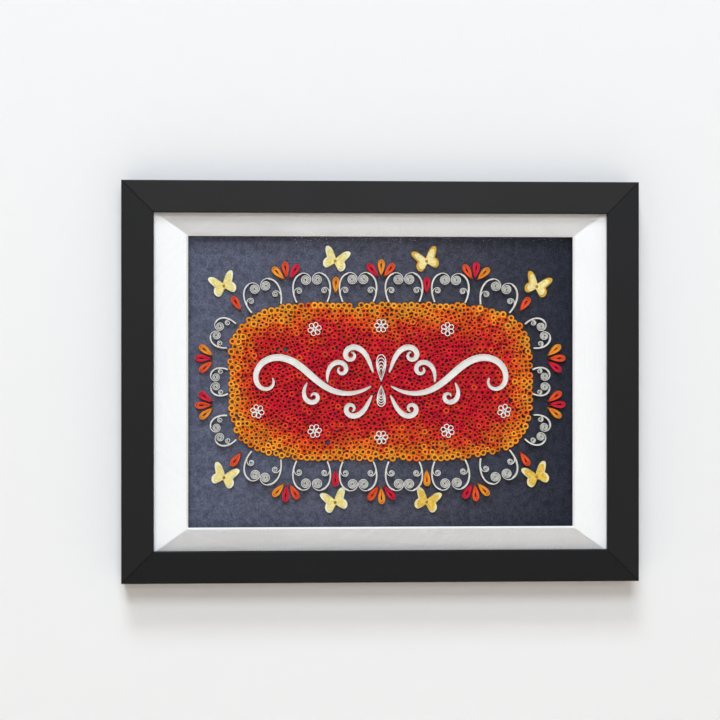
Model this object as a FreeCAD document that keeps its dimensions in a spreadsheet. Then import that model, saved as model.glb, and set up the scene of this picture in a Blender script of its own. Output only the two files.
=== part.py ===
import FreeCAD, Part
import Sketcher
import math
import os

# Framed quilled paper art: a satin black shadow box frame with a white bevelled mat, and inside it a
# slate card that carries a bed of ring coils, curled scrolls, teardrops, blossoms and butterflies.
# Millimetres. X is right, Y runs from the front to the back, Z is up. The origin is the middle of the
# bottom edge, halfway through the depth.

SIZES = {
    # frame
    "frame_width": 452,
    "frame_height": 350,
    "frame_depth": 28,
    "face_width": 28,
    "lip_width": 6,
    "lip_thickness": 4,
    "edge_radius": 1.2,
    # what lies in the rebate, from the glass to the backing board
    "fit_clearance": 1,
    "glass_thickness": 2,
    "spacer_width": 4.6,
    "spacer_depth": 8,
    "mat_thickness": 1.5,
    "mat_side_border": 29.5,
    "mat_top_border": 20,
    "card_thickness": 2,
    "backing_thickness": 3,
    # fasteners and hanger
    "nail_leg": 7,
    "nail_gauge": 0.8,
    "nail_depth": 8,
    "nail_inset": 6,
    "nail_spacing": 8,
    "point_width": 5,
    "point_length": 14,
    "point_gauge": 0.6,
    "point_bite": 5,
    "point_inner_place": 60,
    "point_outer_place": 165,
    "point_side_place": 75,
    "hanger_width": 45,
    "hanger_height": 10,
    "hanger_gauge": 0.8,
    "hanger_rise": 2,
    "hanger_foot": 8,
    "tooth_depth": 2.5,
    "tooth_pitch": 3,
    "pin_diameter": 1.4,
    "pin_length": 10,
    "pin_head_diameter": 3.4,
    "pin_head_height": 0.8,
    # bed of ring coils
    "art_side_margin": 5.75,
    "art_top_margin": 7.05,
    "bed_depth": 4,
    "rim_ring_count": 60,
    "rim_ring_radius": 5.85,
    "rim_width": 13,
    "middle_width": 19,
    "coil_hole": 2.8,
    "middle_coil_count": 24,
    # scrolls
    "scroll_pairs": 18,
    "scroll_tall": 24,
    "scroll_short": 15.5,
    "coil_gap": 1.2,
    "scroll_coil_radius": 4.2,
    "side_coil_radius": 2.6,
    "strip_root": 1.6,
    "strip_end": 0.8,
    "strip_gap": 0.9,
    "strip_depth": 5,
    "foot_gap": 0.5,
    # teardrops, blossoms, butterflies and the raised flourish
    "drop_length": 14.5,
    "drop_width": 6,
    "fan_angle": 38,
    "fan_radius": 4,
    "blossom_radius": 6.2,
    "blossom_height": 1.6,
    "wing_reach": 14,
    "wing_gauge": 0.9,
    "wing_tilt": 14,
    "bead_radius": 2.3,
    "bead_height": 3.6,
    "butterfly_gap": 2,
    "butterfly_lean": 16,
    "flourish_width": 6,
    "flourish_height": 2,
}

doc = FreeCAD.newDocument("framed_quilled_art")
sheet = doc.addObject("Spreadsheet::Sheet", "sizes")
for line, (alias, value) in enumerate(SIZES.items(), 1):
    sheet.set(f"A{line}", alias)
    sheet.set(f"B{line}", str(value))
    sheet.setAlias(f"B{line}", alias)
doc.recompute()

parts = []

# sizes that several pieces share, worked out from the sheet
REBATE_WIDTH = "(sizes.frame_width - 2 * sizes.face_width + 2 * sizes.lip_width)"
REBATE_HEIGHT = "(sizes.frame_height - 2 * sizes.face_width + 2 * sizes.lip_width)"
PANE_WIDTH = f"({REBATE_WIDTH} - 2 * sizes.fit_clearance)"
PANE_HEIGHT = f"({REBATE_HEIGHT} - 2 * sizes.fit_clearance)"
WINDOW_WIDTH = "(sizes.frame_width - 2 * sizes.face_width - 2 * sizes.mat_side_border)"
WINDOW_HEIGHT = "(sizes.frame_height - 2 * sizes.face_width - 2 * sizes.mat_top_border)"
GLASS_FRONT = "(-sizes.frame_depth / 2 + sizes.lip_thickness)"
MAT_FRONT = f"({GLASS_FRONT} + sizes.glass_thickness)"
SPACER_FRONT = f"({MAT_FRONT} + sizes.mat_thickness)"
CARD_FRONT = f"({SPACER_FRONT} + sizes.spacer_depth)"
BACKING_FRONT = f"({CARD_FRONT} + sizes.card_thickness)"
BACKING_BACK = f"({BACKING_FRONT} + sizes.backing_thickness)"
MIDDLE_HEIGHT = "(sizes.frame_height / 2)"


def number(expression):
    """value of an expression on the sheet, in millimetres"""
    result = sheet.evalExpression(expression)
    return float(getattr(result, "Value", result))


def size(alias):
    return float(sheet.get(alias))


def label(thing, name):
    thing.Label = name
    parts.append(thing)
    return thing


def bind(thing, **expressions):
    for field, expression in expressions.items():
        thing.setExpression(field, expression)


def place(thing, x="0", y="0", z="0"):
    for axis, expression in (("x", x), ("y", y), ("z", z)):
        thing.setExpression(f"Placement.Base.{axis}", expression)


def new_body(name):
    body = doc.addObject("PartDesign::Body", name)
    body.AllowCompound = True
    return body


def new_sketch(body, role, name):
    plane = next(feature for feature in body.Origin.OriginFeatures if feature.Role == role)
    sketch = body.newObject("Sketcher::SketchObject", name)
    sketch.AttachmentSupport = [(plane, "")]
    sketch.MapMode = "FlatFace"
    return sketch


def draw_outline(sketch, corners):
    """closed outline of straight lines, each corner held by an expression across and one up"""
    points = [FreeCAD.Vector(number(across), number(up), 0) for across, up in corners]
    first = sketch.GeometryCount
    count = len(points)
    for k in range(count):
        sketch.addGeometry(Part.LineSegment(points[k], points[(k + 1) % count]), False)
    for k in range(count):
        nearby = first + (k + 1) % count
        sketch.addConstraint(Sketcher.Constraint("Coincident", first + k, 2, nearby, 1))
    for k, (across, up) in enumerate(corners):
        for kind, expression, value in (
            ("DistanceX", across, points[k].x),
            ("DistanceY", up, points[k].y),
        ):
            title = f"{kind}{first + k}"
            made = sketch.addConstraint(Sketcher.Constraint(kind, -1, 1, first + k, 1, value))
            sketch.renameConstraint(made, title)
            sketch.setExpression(f"Constraints.{title}", expression)


def draw_box(sketch, left, bottom, right, top):
    draw_outline(sketch, [(left, bottom), (right, bottom), (right, top), (left, top)])


def draw_circle(sketch, across, up, diameter):
    centre = FreeCAD.Vector(number(across), number(up), 0)
    index = sketch.addGeometry(Part.Circle(centre, FreeCAD.Vector(0, 0, 1), number(diameter) / 2), False)
    for kind, expression, value in (
        ("DistanceX", across, centre.x),
        ("DistanceY", up, centre.y),
    ):
        title = f"{kind}{index}"
        made = sketch.addConstraint(Sketcher.Constraint(kind, -1, 1, index, 3, value))
        sketch.renameConstraint(made, title)
        sketch.setExpression(f"Constraints.{title}", expression)
    title = f"Diameter{index}"
    made = sketch.addConstraint(Sketcher.Constraint("Diameter", index, number(diameter)))
    sketch.renameConstraint(made, title)
    sketch.setExpression(f"Constraints.{title}", diameter)


def pad(body, sketch, name, length, side="Symmetric", reverse=False):
    feature = body.newObject("PartDesign::Pad", name)
    feature.Profile = (sketch, [""])
    feature.SideType = side
    feature.Reversed = reverse
    feature.setExpression("Length", length)
    doc.recompute()
    return feature


def pocket(body, sketch, name, length):
    """cut both ways from the sketch; stops the build if nothing was cut"""
    before = body.Shape.Volume
    feature = body.newObject("PartDesign::Pocket", name)
    feature.Profile = (sketch, [""])
    feature.SideType = "Symmetric"
    feature.setExpression("Length", length)
    doc.recompute()
    assert body.Shape.Volume < before, f"{name} cut nothing"
    return feature


def mirror_both_ways(body, feature, name):
    """the feature again in all four quarters about the body's own origin"""
    transform = body.newObject("PartDesign::MultiTransform", name)
    transform.Originals = [feature]
    steps = []
    for role in ("YZ_Plane", "XY_Plane"):
        plane = next(item for item in body.Origin.OriginFeatures if item.Role == role)
        step = body.newObject("PartDesign::Mirrored", f"{name}_{role[:2].lower()}")
        step.MirrorPlane = (plane, [""])
        steps.append(step)
    transform.Transformations = steps
    body.Tip = transform
    doc.recompute()


# frame rails: an L section with eased front edges, mitred at both ends
def rail_blank(name, length, turn, x, z):
    body = new_body(f"{name}_blank")
    section = new_sketch(body, "YZ_Plane", f"{name}_section")
    front = "-sizes.frame_depth / 2"
    back = "sizes.frame_depth / 2"
    rebate_wall = "sizes.face_width - sizes.lip_width"
    draw_outline(
        section,
        [
            (front, "0 mm"),
            (front, "sizes.face_width"),
            (GLASS_FRONT, "sizes.face_width"),
            (GLASS_FRONT, rebate_wall),
            (back, rebate_wall),
            (back, "0 mm"),
        ],
    )
    length_pad = pad(body, section, f"{name}_length", length)
    front_edges = [
        f"Edge{index}"
        for index, edge in enumerate(length_pad.Shape.Edges, 1)
        if edge.BoundBox.YMax < number(GLASS_FRONT) - size("edge_radius")
        and edge.BoundBox.XLength > size("face_width")
    ]
    easing = body.newObject("PartDesign::Fillet", f"{name}_eased_edges")
    easing.Base = (length_pad, front_edges)
    easing.setExpression("Radius", "sizes.edge_radius")
    doc.recompute()
    mitre = new_sketch(body, "XZ_Plane", f"{name}_mitre_lines")
    for side in ("-", ""):
        inner_corner = f"{side}({length} / 2 - sizes.face_width)"
        outer_corner = f"{side}{length} / 2"
        draw_outline(
            mitre,
            [
                (outer_corner, "0 mm"),
                (inner_corner, "sizes.face_width"),
                (outer_corner, "sizes.face_width"),
            ],
        )
    pocket(body, mitre, f"{name}_mitres", "2 * sizes.frame_depth")
    body.Placement.Rotation = FreeCAD.Rotation(FreeCAD.Vector(0, 1, 0), turn)
    place(body, x=x, z=z)
    return body


rail_blanks = {
    "frame_rail_bottom": rail_blank("frame_rail_bottom", "sizes.frame_width", 0, "0", "0"),
    "frame_rail_top": rail_blank("frame_rail_top", "sizes.frame_width", 180, "0", "sizes.frame_height"),
    "frame_rail_left": rail_blank(
        "frame_rail_left", "sizes.frame_height", 90, "-sizes.frame_width / 2", MIDDLE_HEIGHT
    ),
    "frame_rail_right": rail_blank(
        "frame_rail_right", "sizes.frame_height", -90, "sizes.frame_width / 2", MIDDLE_HEIGHT
    ),
}


# V-nails: two bent steel corners driven from the back across each mitre
def make_corner_v_nails():
    body = new_body("corner_v_nails")
    outline = new_sketch(body, "XZ_Plane", "v_nail_outline")
    for place_number in (0, 1):
        inset = f"(sizes.nail_inset + {place_number} * sizes.nail_spacing)"
        corner_x = f"(sizes.frame_width / 2 - {inset})"
        corner_z = f"(sizes.frame_height / 2 - {inset})"
        draw_outline(
            outline,
            [
                (corner_x, corner_z),
                (f"{corner_x} - sizes.nail_leg", corner_z),
                (f"{corner_x} - sizes.nail_leg", f"{corner_z} - sizes.nail_gauge"),
                (f"{corner_x} - sizes.nail_gauge", f"{corner_z} - sizes.nail_gauge"),
                (f"{corner_x} - sizes.nail_gauge", f"{corner_z} - sizes.nail_leg"),
                (corner_x, f"{corner_z} - sizes.nail_leg"),
            ],
        )
    depth = pad(body, outline, "v_nail_depth", "sizes.nail_depth", side="One side")
    mirror_both_ways(body, depth, "v_nail_quarters")
    place(body, y="sizes.frame_depth / 2", z=MIDDLE_HEIGHT)
    return label(body, "corner_v_nails")


# framer's points: thin steel tabs pressed into the rebate wall behind the backing board
def make_framers_points():
    body = new_body("framers_points")
    outline = new_sketch(body, "XZ_Plane", "point_outline")
    half_width = "sizes.point_width / 2"
    tip_z = f"({REBATE_HEIGHT} / 2 + sizes.point_bite)"
    tip_x = f"({REBATE_WIDTH} / 2 + sizes.point_bite)"
    root_z = f"({tip_z} - sizes.point_length)"
    root_x = f"({tip_x} - sizes.point_length)"
    for along in ("sizes.point_inner_place", "sizes.point_outer_place"):
        draw_box(outline, f"{along} - {half_width}", root_z, f"{along} + {half_width}", tip_z)
    side = "sizes.point_side_place"
    draw_box(outline, root_x, f"{side} - {half_width}", tip_x, f"{side} + {half_width}")
    gauge = pad(body, outline, "point_gauge", "sizes.point_gauge", side="One side", reverse=True)
    mirror_both_ways(body, gauge, "point_quarters")
    place(body, y=BACKING_BACK, z=MIDDLE_HEIGHT)
    return label(body, "framers_points")


# sawtooth hanger: a strip bent to stand off the top rail, with teeth stamped in its lower edge
HANGER_HEIGHT = "(sizes.frame_height - (sizes.face_width - sizes.lip_width) / 2)"
HANGER_PIN_PLACE = "(sizes.hanger_width / 2 - sizes.hanger_foot / 2)"


def make_sawtooth_hanger():
    body = new_body("sawtooth_hanger")
    bend = new_sketch(body, "XY_Plane", "hanger_bend")
    half = "sizes.hanger_width / 2"
    foot = f"({half} - sizes.hanger_foot)"
    shoulder = f"({foot} - sizes.hanger_rise)"
    gauge = "sizes.hanger_gauge"
    raised = f"(sizes.hanger_rise + {gauge})"
    draw_outline(
        bend,
        [
            (f"-{half}", "0 mm"),
            (f"-{foot}", "0 mm"),
            (f"-{shoulder}", "sizes.hanger_rise"),
            (shoulder, "sizes.hanger_rise"),
            (foot, "0 mm"),
            (half, "0 mm"),
            (half, gauge),
            (f"({foot} + {gauge} / 2)", gauge),
            (f"({shoulder} + {gauge} / 2)", raised),
            (f"-({shoulder} + {gauge} / 2)", raised),
            (f"-({foot} + {gauge} / 2)", gauge),
            (f"-{half}", gauge),
        ],
    )
    pad(body, bend, "hanger_strip", "sizes.hanger_height")
    teeth = new_sketch(body, "XZ_Plane", "hanger_teeth")
    lower_edge = "-sizes.hanger_height / 2"
    toothed_half = int(number(f"{shoulder} / sizes.tooth_pitch"))
    for step in range(-toothed_half + 1, toothed_half):
        middle = f"{step} * sizes.tooth_pitch"
        draw_outline(
            teeth,
            [
                (f"{middle} - 0.45 * sizes.tooth_pitch", lower_edge),
                (f"{middle} + 0.45 * sizes.tooth_pitch", lower_edge),
                (middle, f"{lower_edge} + sizes.tooth_depth"),
            ],
        )
    pocket(body, teeth, "hanger_notches", f"4 * {raised}")
    holes = new_sketch(body, "XZ_Plane", "hanger_pin_holes")
    for side in ("-", ""):
        draw_circle(holes, f"{side}{HANGER_PIN_PLACE}", "0 mm", "sizes.pin_diameter")
    pocket(body, holes, "hanger_holes", f"4 * {raised}")
    place(body, y="sizes.frame_depth / 2", z=HANGER_HEIGHT)
    return label(body, "sawtooth_hanger")


# hanger nails: a shank and a flat head, driven through the hanger's feet into the top rail
def make_hanger_nails():
    body = new_body("hanger_nails")
    shanks = new_sketch(body, "XZ_Plane", "shank_circles")
    heads = new_sketch(body, "XZ_Plane", "head_circles")
    heads.setExpression("AttachmentOffset.Base.z", "-sizes.hanger_gauge")
    for side in ("-", ""):
        draw_circle(shanks, f"{side}{HANGER_PIN_PLACE}", "0 mm", "sizes.pin_diameter")
        draw_circle(heads, f"{side}{HANGER_PIN_PLACE}", "0 mm", "sizes.pin_head_diameter")
    shank = pad(body, shanks, "shanks", "sizes.pin_length", side="One side")
    shank.SideType = "Two sides"
    shank.setExpression("Length2", "sizes.hanger_gauge")
    doc.recompute()
    pad(body, heads, "heads", "sizes.pin_head_height", side="One side", reverse=True)
    place(body, y="sizes.frame_depth / 2", z=HANGER_HEIGHT)
    return label(body, "hanger_nails")


fasteners = doc.addObject("Part::Compound", "driven_fasteners")
fasteners.Links = [make_corner_v_nails(), make_framers_points(), make_hanger_nails()]
make_sawtooth_hanger()

for name, blank in rail_blanks.items():
    rail = doc.addObject("Part::Cut", name)
    rail.Base = blank
    rail.Tool = fasteners
    label(rail, name)


# flat sheets in the rebate: glass, mat, spacers behind the mat, card and backing board
def make_board(name, thickness, front, width=PANE_WIDTH, height=PANE_HEIGHT):
    board = doc.addObject("Part::Box", name)
    bind(board, Length=width, Width=thickness, Height=height)
    place(board, f"-{width} / 2", front, f"{MIDDLE_HEIGHT} - {height} / 2")
    return board


label(make_board("glass_pane", "sizes.glass_thickness", GLASS_FRONT), "glass_pane")

SPACER_SIDE_HEIGHT = f"({PANE_HEIGHT} - 2 * sizes.spacer_width)"
for name, edge in (
    ("spacer_bottom", f"{MIDDLE_HEIGHT} - {PANE_HEIGHT} / 2"),
    ("spacer_top", f"{MIDDLE_HEIGHT} + {PANE_HEIGHT} / 2 - sizes.spacer_width"),
):
    spacer = doc.addObject("Part::Box", name)
    bind(spacer, Length=PANE_WIDTH, Width="sizes.spacer_depth", Height="sizes.spacer_width")
    place(spacer, f"-{PANE_WIDTH} / 2", SPACER_FRONT, edge)
    label(spacer, name)
for name, edge in (
    ("spacer_left", f"-{PANE_WIDTH} / 2"),
    ("spacer_right", f"{PANE_WIDTH} / 2 - sizes.spacer_width"),
):
    spacer = doc.addObject("Part::Box", name)
    bind(spacer, Length="sizes.spacer_width", Width="sizes.spacer_depth", Height=SPACER_SIDE_HEIGHT)
    place(spacer, edge, SPACER_FRONT, f"{MIDDLE_HEIGHT} - {SPACER_SIDE_HEIGHT} / 2")
    label(spacer, name)

mat_blank = make_board("mat_blank", "sizes.mat_thickness", MAT_FRONT)
mat_window = doc.addObject("Part::Wedge", "mat_window")
bind(
    mat_window,
    Xmin=f"-{WINDOW_WIDTH} / 2 - sizes.mat_thickness",
    Xmax=f"{WINDOW_WIDTH} / 2 + sizes.mat_thickness",
    Zmin=f"-{WINDOW_HEIGHT} / 2 - sizes.mat_thickness",
    Zmax=f"{WINDOW_HEIGHT} / 2 + sizes.mat_thickness",
    X2min=f"-{WINDOW_WIDTH} / 2",
    X2max=f"{WINDOW_WIDTH} / 2",
    Z2min=f"-{WINDOW_HEIGHT} / 2",
    Z2max=f"{WINDOW_HEIGHT} / 2",
    Ymin="0 mm",
    Ymax="sizes.mat_thickness",
)
place(mat_window, y=MAT_FRONT, z=MIDDLE_HEIGHT)
mat_board = doc.addObject("Part::Cut", "mat_board")
mat_board.Base = mat_blank
mat_board.Tool = mat_window
label(mat_board, "mat_board")

label(make_board("slate_card", "sizes.card_thickness", CARD_FRONT), "slate_card")
label(make_board("backing_board", "sizes.backing_thickness", BACKING_FRONT), "backing_board")


# The quilled pieces are drawn flat, across and up from the middle of the card, and raised towards the
# viewer. One turn and shift stands them all on the card's front face.
def stand_on_card(name, shapes, lift="0"):
    group = doc.addObject("Part::Feature", name)
    group.Shape = Part.Compound(shapes)
    group.Placement = FreeCAD.Placement(
        FreeCAD.Vector(0, 0, 0), FreeCAD.Rotation(FreeCAD.Vector(1, 0, 0), 90)
    )
    place(group, y=f"{CARD_FRONT} - {lift}", z=MIDDLE_HEIGHT)
    return label(group, name)


def ring_wire(points):
    """closed wire through points (across, up)"""
    corners = [FreeCAD.Vector(across, up, 0) for across, up in points]
    return Part.makePolygon(corners + corners[:1])


def raised(points, height, holes=()):
    """prism on an outline, with holes of other outlines"""
    wires = [ring_wire(outline) for outline in (points, *holes)]
    face = Part.makeFace(wires, "Part::FaceMakerBullseye")
    return face.extrude(FreeCAD.Vector(0, 0, height))


def moved(points, across, up, heading, flip=1):
    """turn an outline so that its up axis follows heading (radians), then shift it"""
    c, s = math.cos(heading), math.sin(heading)
    return [(across + v * c - flip * u * s, up + v * s + flip * u * c) for u, v in points]


def polygon(across, up, radius, corners, turn=0.0):
    return [
        (
            across + radius * math.cos(turn + 2 * math.pi * k / corners),
            up + radius * math.sin(turn + 2 * math.pi * k / corners),
        )
        for k in range(corners)
    ]


# bed outline: a squarish ellipse that swells at its four shoulders
BED_SQUARENESS = 0.74
BED_SWELL = 0.045
WING_ROOM_SHARE = 0.8
BED_SAMPLE_COUNT = 720
NEIGHBOUR_STEP_COUNT = 5


def bed_half_length():
    """what the mat window leaves beside the bed: short scrolls, teardrops and a bare margin"""
    beside = size("scroll_short") + size("drop_length") + size("art_side_margin")
    return (number(f"{WINDOW_WIDTH} / 2") - beside) / (1 - BED_SWELL)


def butterfly_outset(height):
    """from the bed to a butterfly's bead, over a gap between scrolls of this height"""
    return height + size("wing_reach") * WING_ROOM_SHARE + size("butterfly_gap")


def bed_half_height():
    """what the mat window leaves above the bed: tall scrolls, butterflies and a bare margin"""
    above = butterfly_outset(size("scroll_tall")) + size("wing_reach") + size("art_top_margin")
    return (number(f"{WINDOW_HEIGHT} / 2") - above) / (1 - BED_SWELL)


def bed_point(angle):
    c, s = math.cos(angle), math.sin(angle)
    swell = 1.0 - BED_SWELL * math.cos(4 * angle)
    across = bed_half_length() * math.copysign(abs(c) ** BED_SQUARENESS, c) * swell
    up = bed_half_height() * math.copysign(abs(s) ** BED_SQUARENESS, s) * swell
    return across, up


def bed_line(outset):
    """bed outline moved outwards: points (across, up, outward heading) and the length to each"""
    raw = [bed_point(2 * math.pi * k / BED_SAMPLE_COUNT) for k in range(BED_SAMPLE_COUNT)]
    points = []
    for k in range(BED_SAMPLE_COUNT):
        before = raw[k - NEIGHBOUR_STEP_COUNT]
        after = raw[(k + NEIGHBOUR_STEP_COUNT) % BED_SAMPLE_COUNT]
        heading = math.atan2(before[0] - after[0], after[1] - before[1])
        points.append(
            (raw[k][0] + outset * math.cos(heading), raw[k][1] + outset * math.sin(heading), heading)
        )
    reach = [0.0]
    for first, second in zip(points, points[1:] + points[:1]):
        reach.append(reach[-1] + math.dist(first[:2], second[:2]))
    return points, reach


def bed_row(outset, count, phase=0.0):
    """count places at even spacing along the moved outline, each (across, up, outward heading)"""
    points, reach = bed_line(outset)
    row = []
    k = 0
    for place_number in range(count):
        wanted = reach[-1] * (place_number + phase) / count
        while reach[k + 1] < wanted:
            k += 1
        share = (wanted - reach[k]) / (reach[k + 1] - reach[k])
        first, second = points[k], points[(k + 1) % BED_SAMPLE_COUNT]
        turn = math.remainder(second[2] - first[2], 2 * math.pi)
        row.append(
            (
                first[0] + share * (second[0] - first[0]),
                first[1] + share * (second[1] - first[1]),
                first[2] + share * turn,
            )
        )
    return row


# bed of ring coils in three colours: plates with one scallop and one hole for each coil of a row
SCALLOP_ANGLES = (-0.85, 0, 0.85)
MIDDLE_EDGE_COUNT = 30
CENTRE_EDGE_COUNT = 20


def make_coil_bed():
    depth = size("bed_depth")
    ring = size("rim_ring_radius")
    rim_row = bed_row(-ring, int(size("rim_ring_count")), 0.5)
    scallops = []
    for across, up, heading in rim_row:
        for turn in SCALLOP_ANGLES:
            scallops.append(
                (across + ring * math.cos(heading + turn), up + ring * math.sin(heading + turn))
            )
    middle_edge = [point[:2] for point in bed_row(-size("rim_width"), MIDDLE_EDGE_COUNT)]
    centre_inset = size("rim_width") + size("middle_width")
    centre_edge = [point[:2] for point in bed_row(-centre_inset, CENTRE_EDGE_COUNT)]
    rim_holes = [polygon(across, up, size("coil_hole"), 4, heading) for across, up, heading in rim_row]
    middle_row = bed_row(
        -size("rim_width") - size("middle_width") / 2, int(size("middle_coil_count")), 0.5
    )
    middle_holes = [polygon(across, up, size("coil_hole"), 4, heading) for across, up, heading in middle_row]
    stand_on_card("coil_bed_rim", [raised(scallops, depth, [middle_edge] + rim_holes)])
    stand_on_card("coil_bed_middle", [raised(middle_edge, depth, [centre_edge] + middle_holes)])
    stand_on_card("coil_bed_centre", [raised(centre_edge, depth)])


make_coil_bed()


WALK_SAMPLE_COUNT = 240


def walk(start, heading, length, bends, steps, crowding=1.0):
    """centre line whose bend, in degrees a millimetre, changes evenly from one (share of the length,
    bend) to the next; crowding above 1 brings its points closer together towards the end"""
    across, up = start
    turn = math.radians(heading)
    step = length / WALK_SAMPLE_COUNT
    line = [(across, up, turn)]
    for k in range(WALK_SAMPLE_COUNT):
        share = (k + 0.5) / WALK_SAMPLE_COUNT
        for (share_a, bend_a), (share_b, bend_b) in zip(bends, bends[1:]):
            if share_a <= share <= share_b:
                bend = bend_a + (bend_b - bend_a) * (share - share_a) / (share_b - share_a)
        half_turn = math.radians(bend) * step / 2
        turn += half_turn
        across += math.cos(turn) * step
        up += math.sin(turn) * step
        turn += half_turn
        line.append((across, up, turn))
    return [line[round(WALK_SAMPLE_COUNT * (1 - (1 - k / steps) ** crowding))] for k in range(steps + 1)]


def strip_outline(path, widths):
    left = []
    right = []
    for (across, up, turn), width in zip(path, widths):
        left.append((across - math.sin(turn) * width / 2, up + math.cos(turn) * width / 2))
        right.append((across + math.sin(turn) * width / 2, up - math.cos(turn) * width / 2))
    return left + right[::-1]


# scrolls: a strip that leans out from its foot, arches over and winds up into a coil, with a smaller
# strip that leaves it near the foot and winds up into a side coil
FOOT_HEADING = 115.5
STEM_TURN = 205.0
STEM_SHARE_OF_HEIGHT = 1.65
ROOT_BEND_SHARE = 0.25
KNEE_SHARE = 0.42
COIL_BEND_SHARE = 0.85
STEM_STEP_COUNT = 7
COIL_STEP_COUNT = 6
SMALLEST_COIL_SHARE = 0.4
BRANCH_STEP_COUNT = 1
BRANCH_TURN = 150.0
BRANCH_SHARE_OF_HEIGHT = 0.5
BRANCH_ROOT_SHARE = 0.4
BRANCH_POINT_COUNT = 3
SIDE_COIL_CORNERS = 5
HEIGHT_POWER = 1.5


def coil_share(height):
    """coils shrink less than the scroll does"""
    return SMALLEST_COIL_SHARE + (1 - SMALLEST_COIL_SHARE) * height / size("scroll_tall")


def coil_middle(station, radius):
    """middle of a coil that a strip winds into clockwise from a station"""
    across, up, turn = station
    return across + math.sin(turn) * radius, up - math.cos(turn) * radius


def scroll_path(height):
    """centre line of the strip, foot at 0, 0, and the middle of its coil"""
    coil = size("scroll_coil_radius") * coil_share(height)
    stem = STEM_SHARE_OF_HEIGHT * height
    coil_bend = math.degrees(1 / coil) * COIL_BEND_SHARE
    root_bend = ROOT_BEND_SHARE * STEM_TURN / stem
    knee_bend = 2 * STEM_TURN / stem - coil_bend * (1 - KNEE_SHARE) - root_bend * KNEE_SHARE
    bends = ((0, -root_bend), (KNEE_SHARE, -knee_bend), (1, -coil_bend))
    path = walk((0, 0), FOOT_HEADING, stem, bends, STEM_STEP_COUNT)
    middle = coil_middle(path[-1], coil)
    turn = path[-1][2]
    pitch = size("strip_end") + size("strip_gap")
    for k in range(1, COIL_STEP_COUNT + 1):
        wound = 2 * math.pi * k / COIL_STEP_COUNT
        radius = coil - pitch * wound / (2 * math.pi)
        spoke = turn + math.pi / 2 - wound
        spot = (middle[0] + radius * math.cos(spoke), middle[1] + radius * math.sin(spoke))
        path.append((*spot, spoke - math.pi / 2))
    return path, middle


def branch_path(height, start):
    """centre line of the smaller strip, from a station of the stem to its own coil"""
    across, up, turn = start
    length = BRANCH_SHARE_OF_HEIGHT * height
    root_bend = BRANCH_ROOT_SHARE * BRANCH_TURN / length
    coil_bend = 2 * BRANCH_TURN / length - root_bend
    bends = ((0, -root_bend), (1, -coil_bend))
    return walk((across, up), math.degrees(turn), length, bends, BRANCH_POINT_COUNT)


def scroll_solid(height, across, up, heading, flip):
    """one of a facing pair, whose coils stand coil_gap apart either side of the pair's middle"""
    path, middle = scroll_path(height)
    coil = size("scroll_coil_radius") * coil_share(height)
    spread = middle[0] + coil + size("strip_end") / 2 + size("coil_gap") / 2
    taper = size("strip_end") - size("strip_root")
    widths = [size("strip_root") + taper * min(1, k / STEM_STEP_COUNT) for k in range(len(path))]
    branch = branch_path(height, path[BRANCH_STEP_COUNT])
    side_radius = size("side_coil_radius") * coil_share(height)
    side_middle = coil_middle(branch[-1], side_radius)
    outlines = [
        strip_outline(path, widths),
        strip_outline(branch, [size("strip_end")] * len(branch)),
        polygon(*side_middle, side_radius + size("strip_end") / 2, SIDE_COIL_CORNERS),
    ]
    solids = []
    for outline in outlines:
        spread_outline = [(u - spread, v) for u, v in outline]
        solids.append(raised(moved(spread_outline, across, up, heading, flip), size("strip_depth")))
    return solids[0].fuse(solids[1:]).removeSplitter()


def scroll_height(heading):
    """tall along the top and bottom of the bed, short at its two ends"""
    short = size("scroll_short")
    return short + (size("scroll_tall") - short) * abs(math.sin(heading)) ** HEIGHT_POWER


def make_scrolls():
    groups = {"scrolls_right": [], "scrolls_top": [], "scrolls_left": [], "scrolls_bottom": []}
    outset = size("foot_gap") + size("strip_root") / 2
    for across, up, heading in bed_row(outset, int(size("scroll_pairs"))):
        quarter = round(math.remainder(heading, 2 * math.pi) / (math.pi / 2)) % 4
        group = list(groups.values())[quarter]
        for flip in (-1, 1):
            group.append(scroll_solid(scroll_height(heading), across, up, heading, flip))
    for name, solids in groups.items():
        stand_on_card(name, solids)


make_scrolls()


# teardrops: one closed loop, pinched at the end that points at the bed
DROP_POINT_COUNT = 8
DROP_SHARPNESS = 1.2
DROP_COLOURS = ("crimson", "orange_red", "orange")


def drop_outline(length, width, corners=DROP_POINT_COUNT):
    """tip at 0, 0 and round end at the top: across = sin(t) * sin(t / 2) to a power"""
    turns = [2 * math.pi * k / corners for k in range(corners)]
    fullness = [math.sin(turn) * abs(math.sin(turn / 2)) ** DROP_SHARPNESS for turn in turns]
    scale = width / 2 / max(fullness)
    return [(full * scale, length / 2 * (1 - math.cos(turn))) for full, turn in zip(fullness, turns)]


def butterfly_gaps():
    """every second gap between scroll pairs, so that the two ends and the middles keep their fans"""
    pairs = int(size("scroll_pairs"))
    half = pairs // 2
    return [gap for gap in range(pairs) if (gap % half) % 2 == 1]


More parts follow.
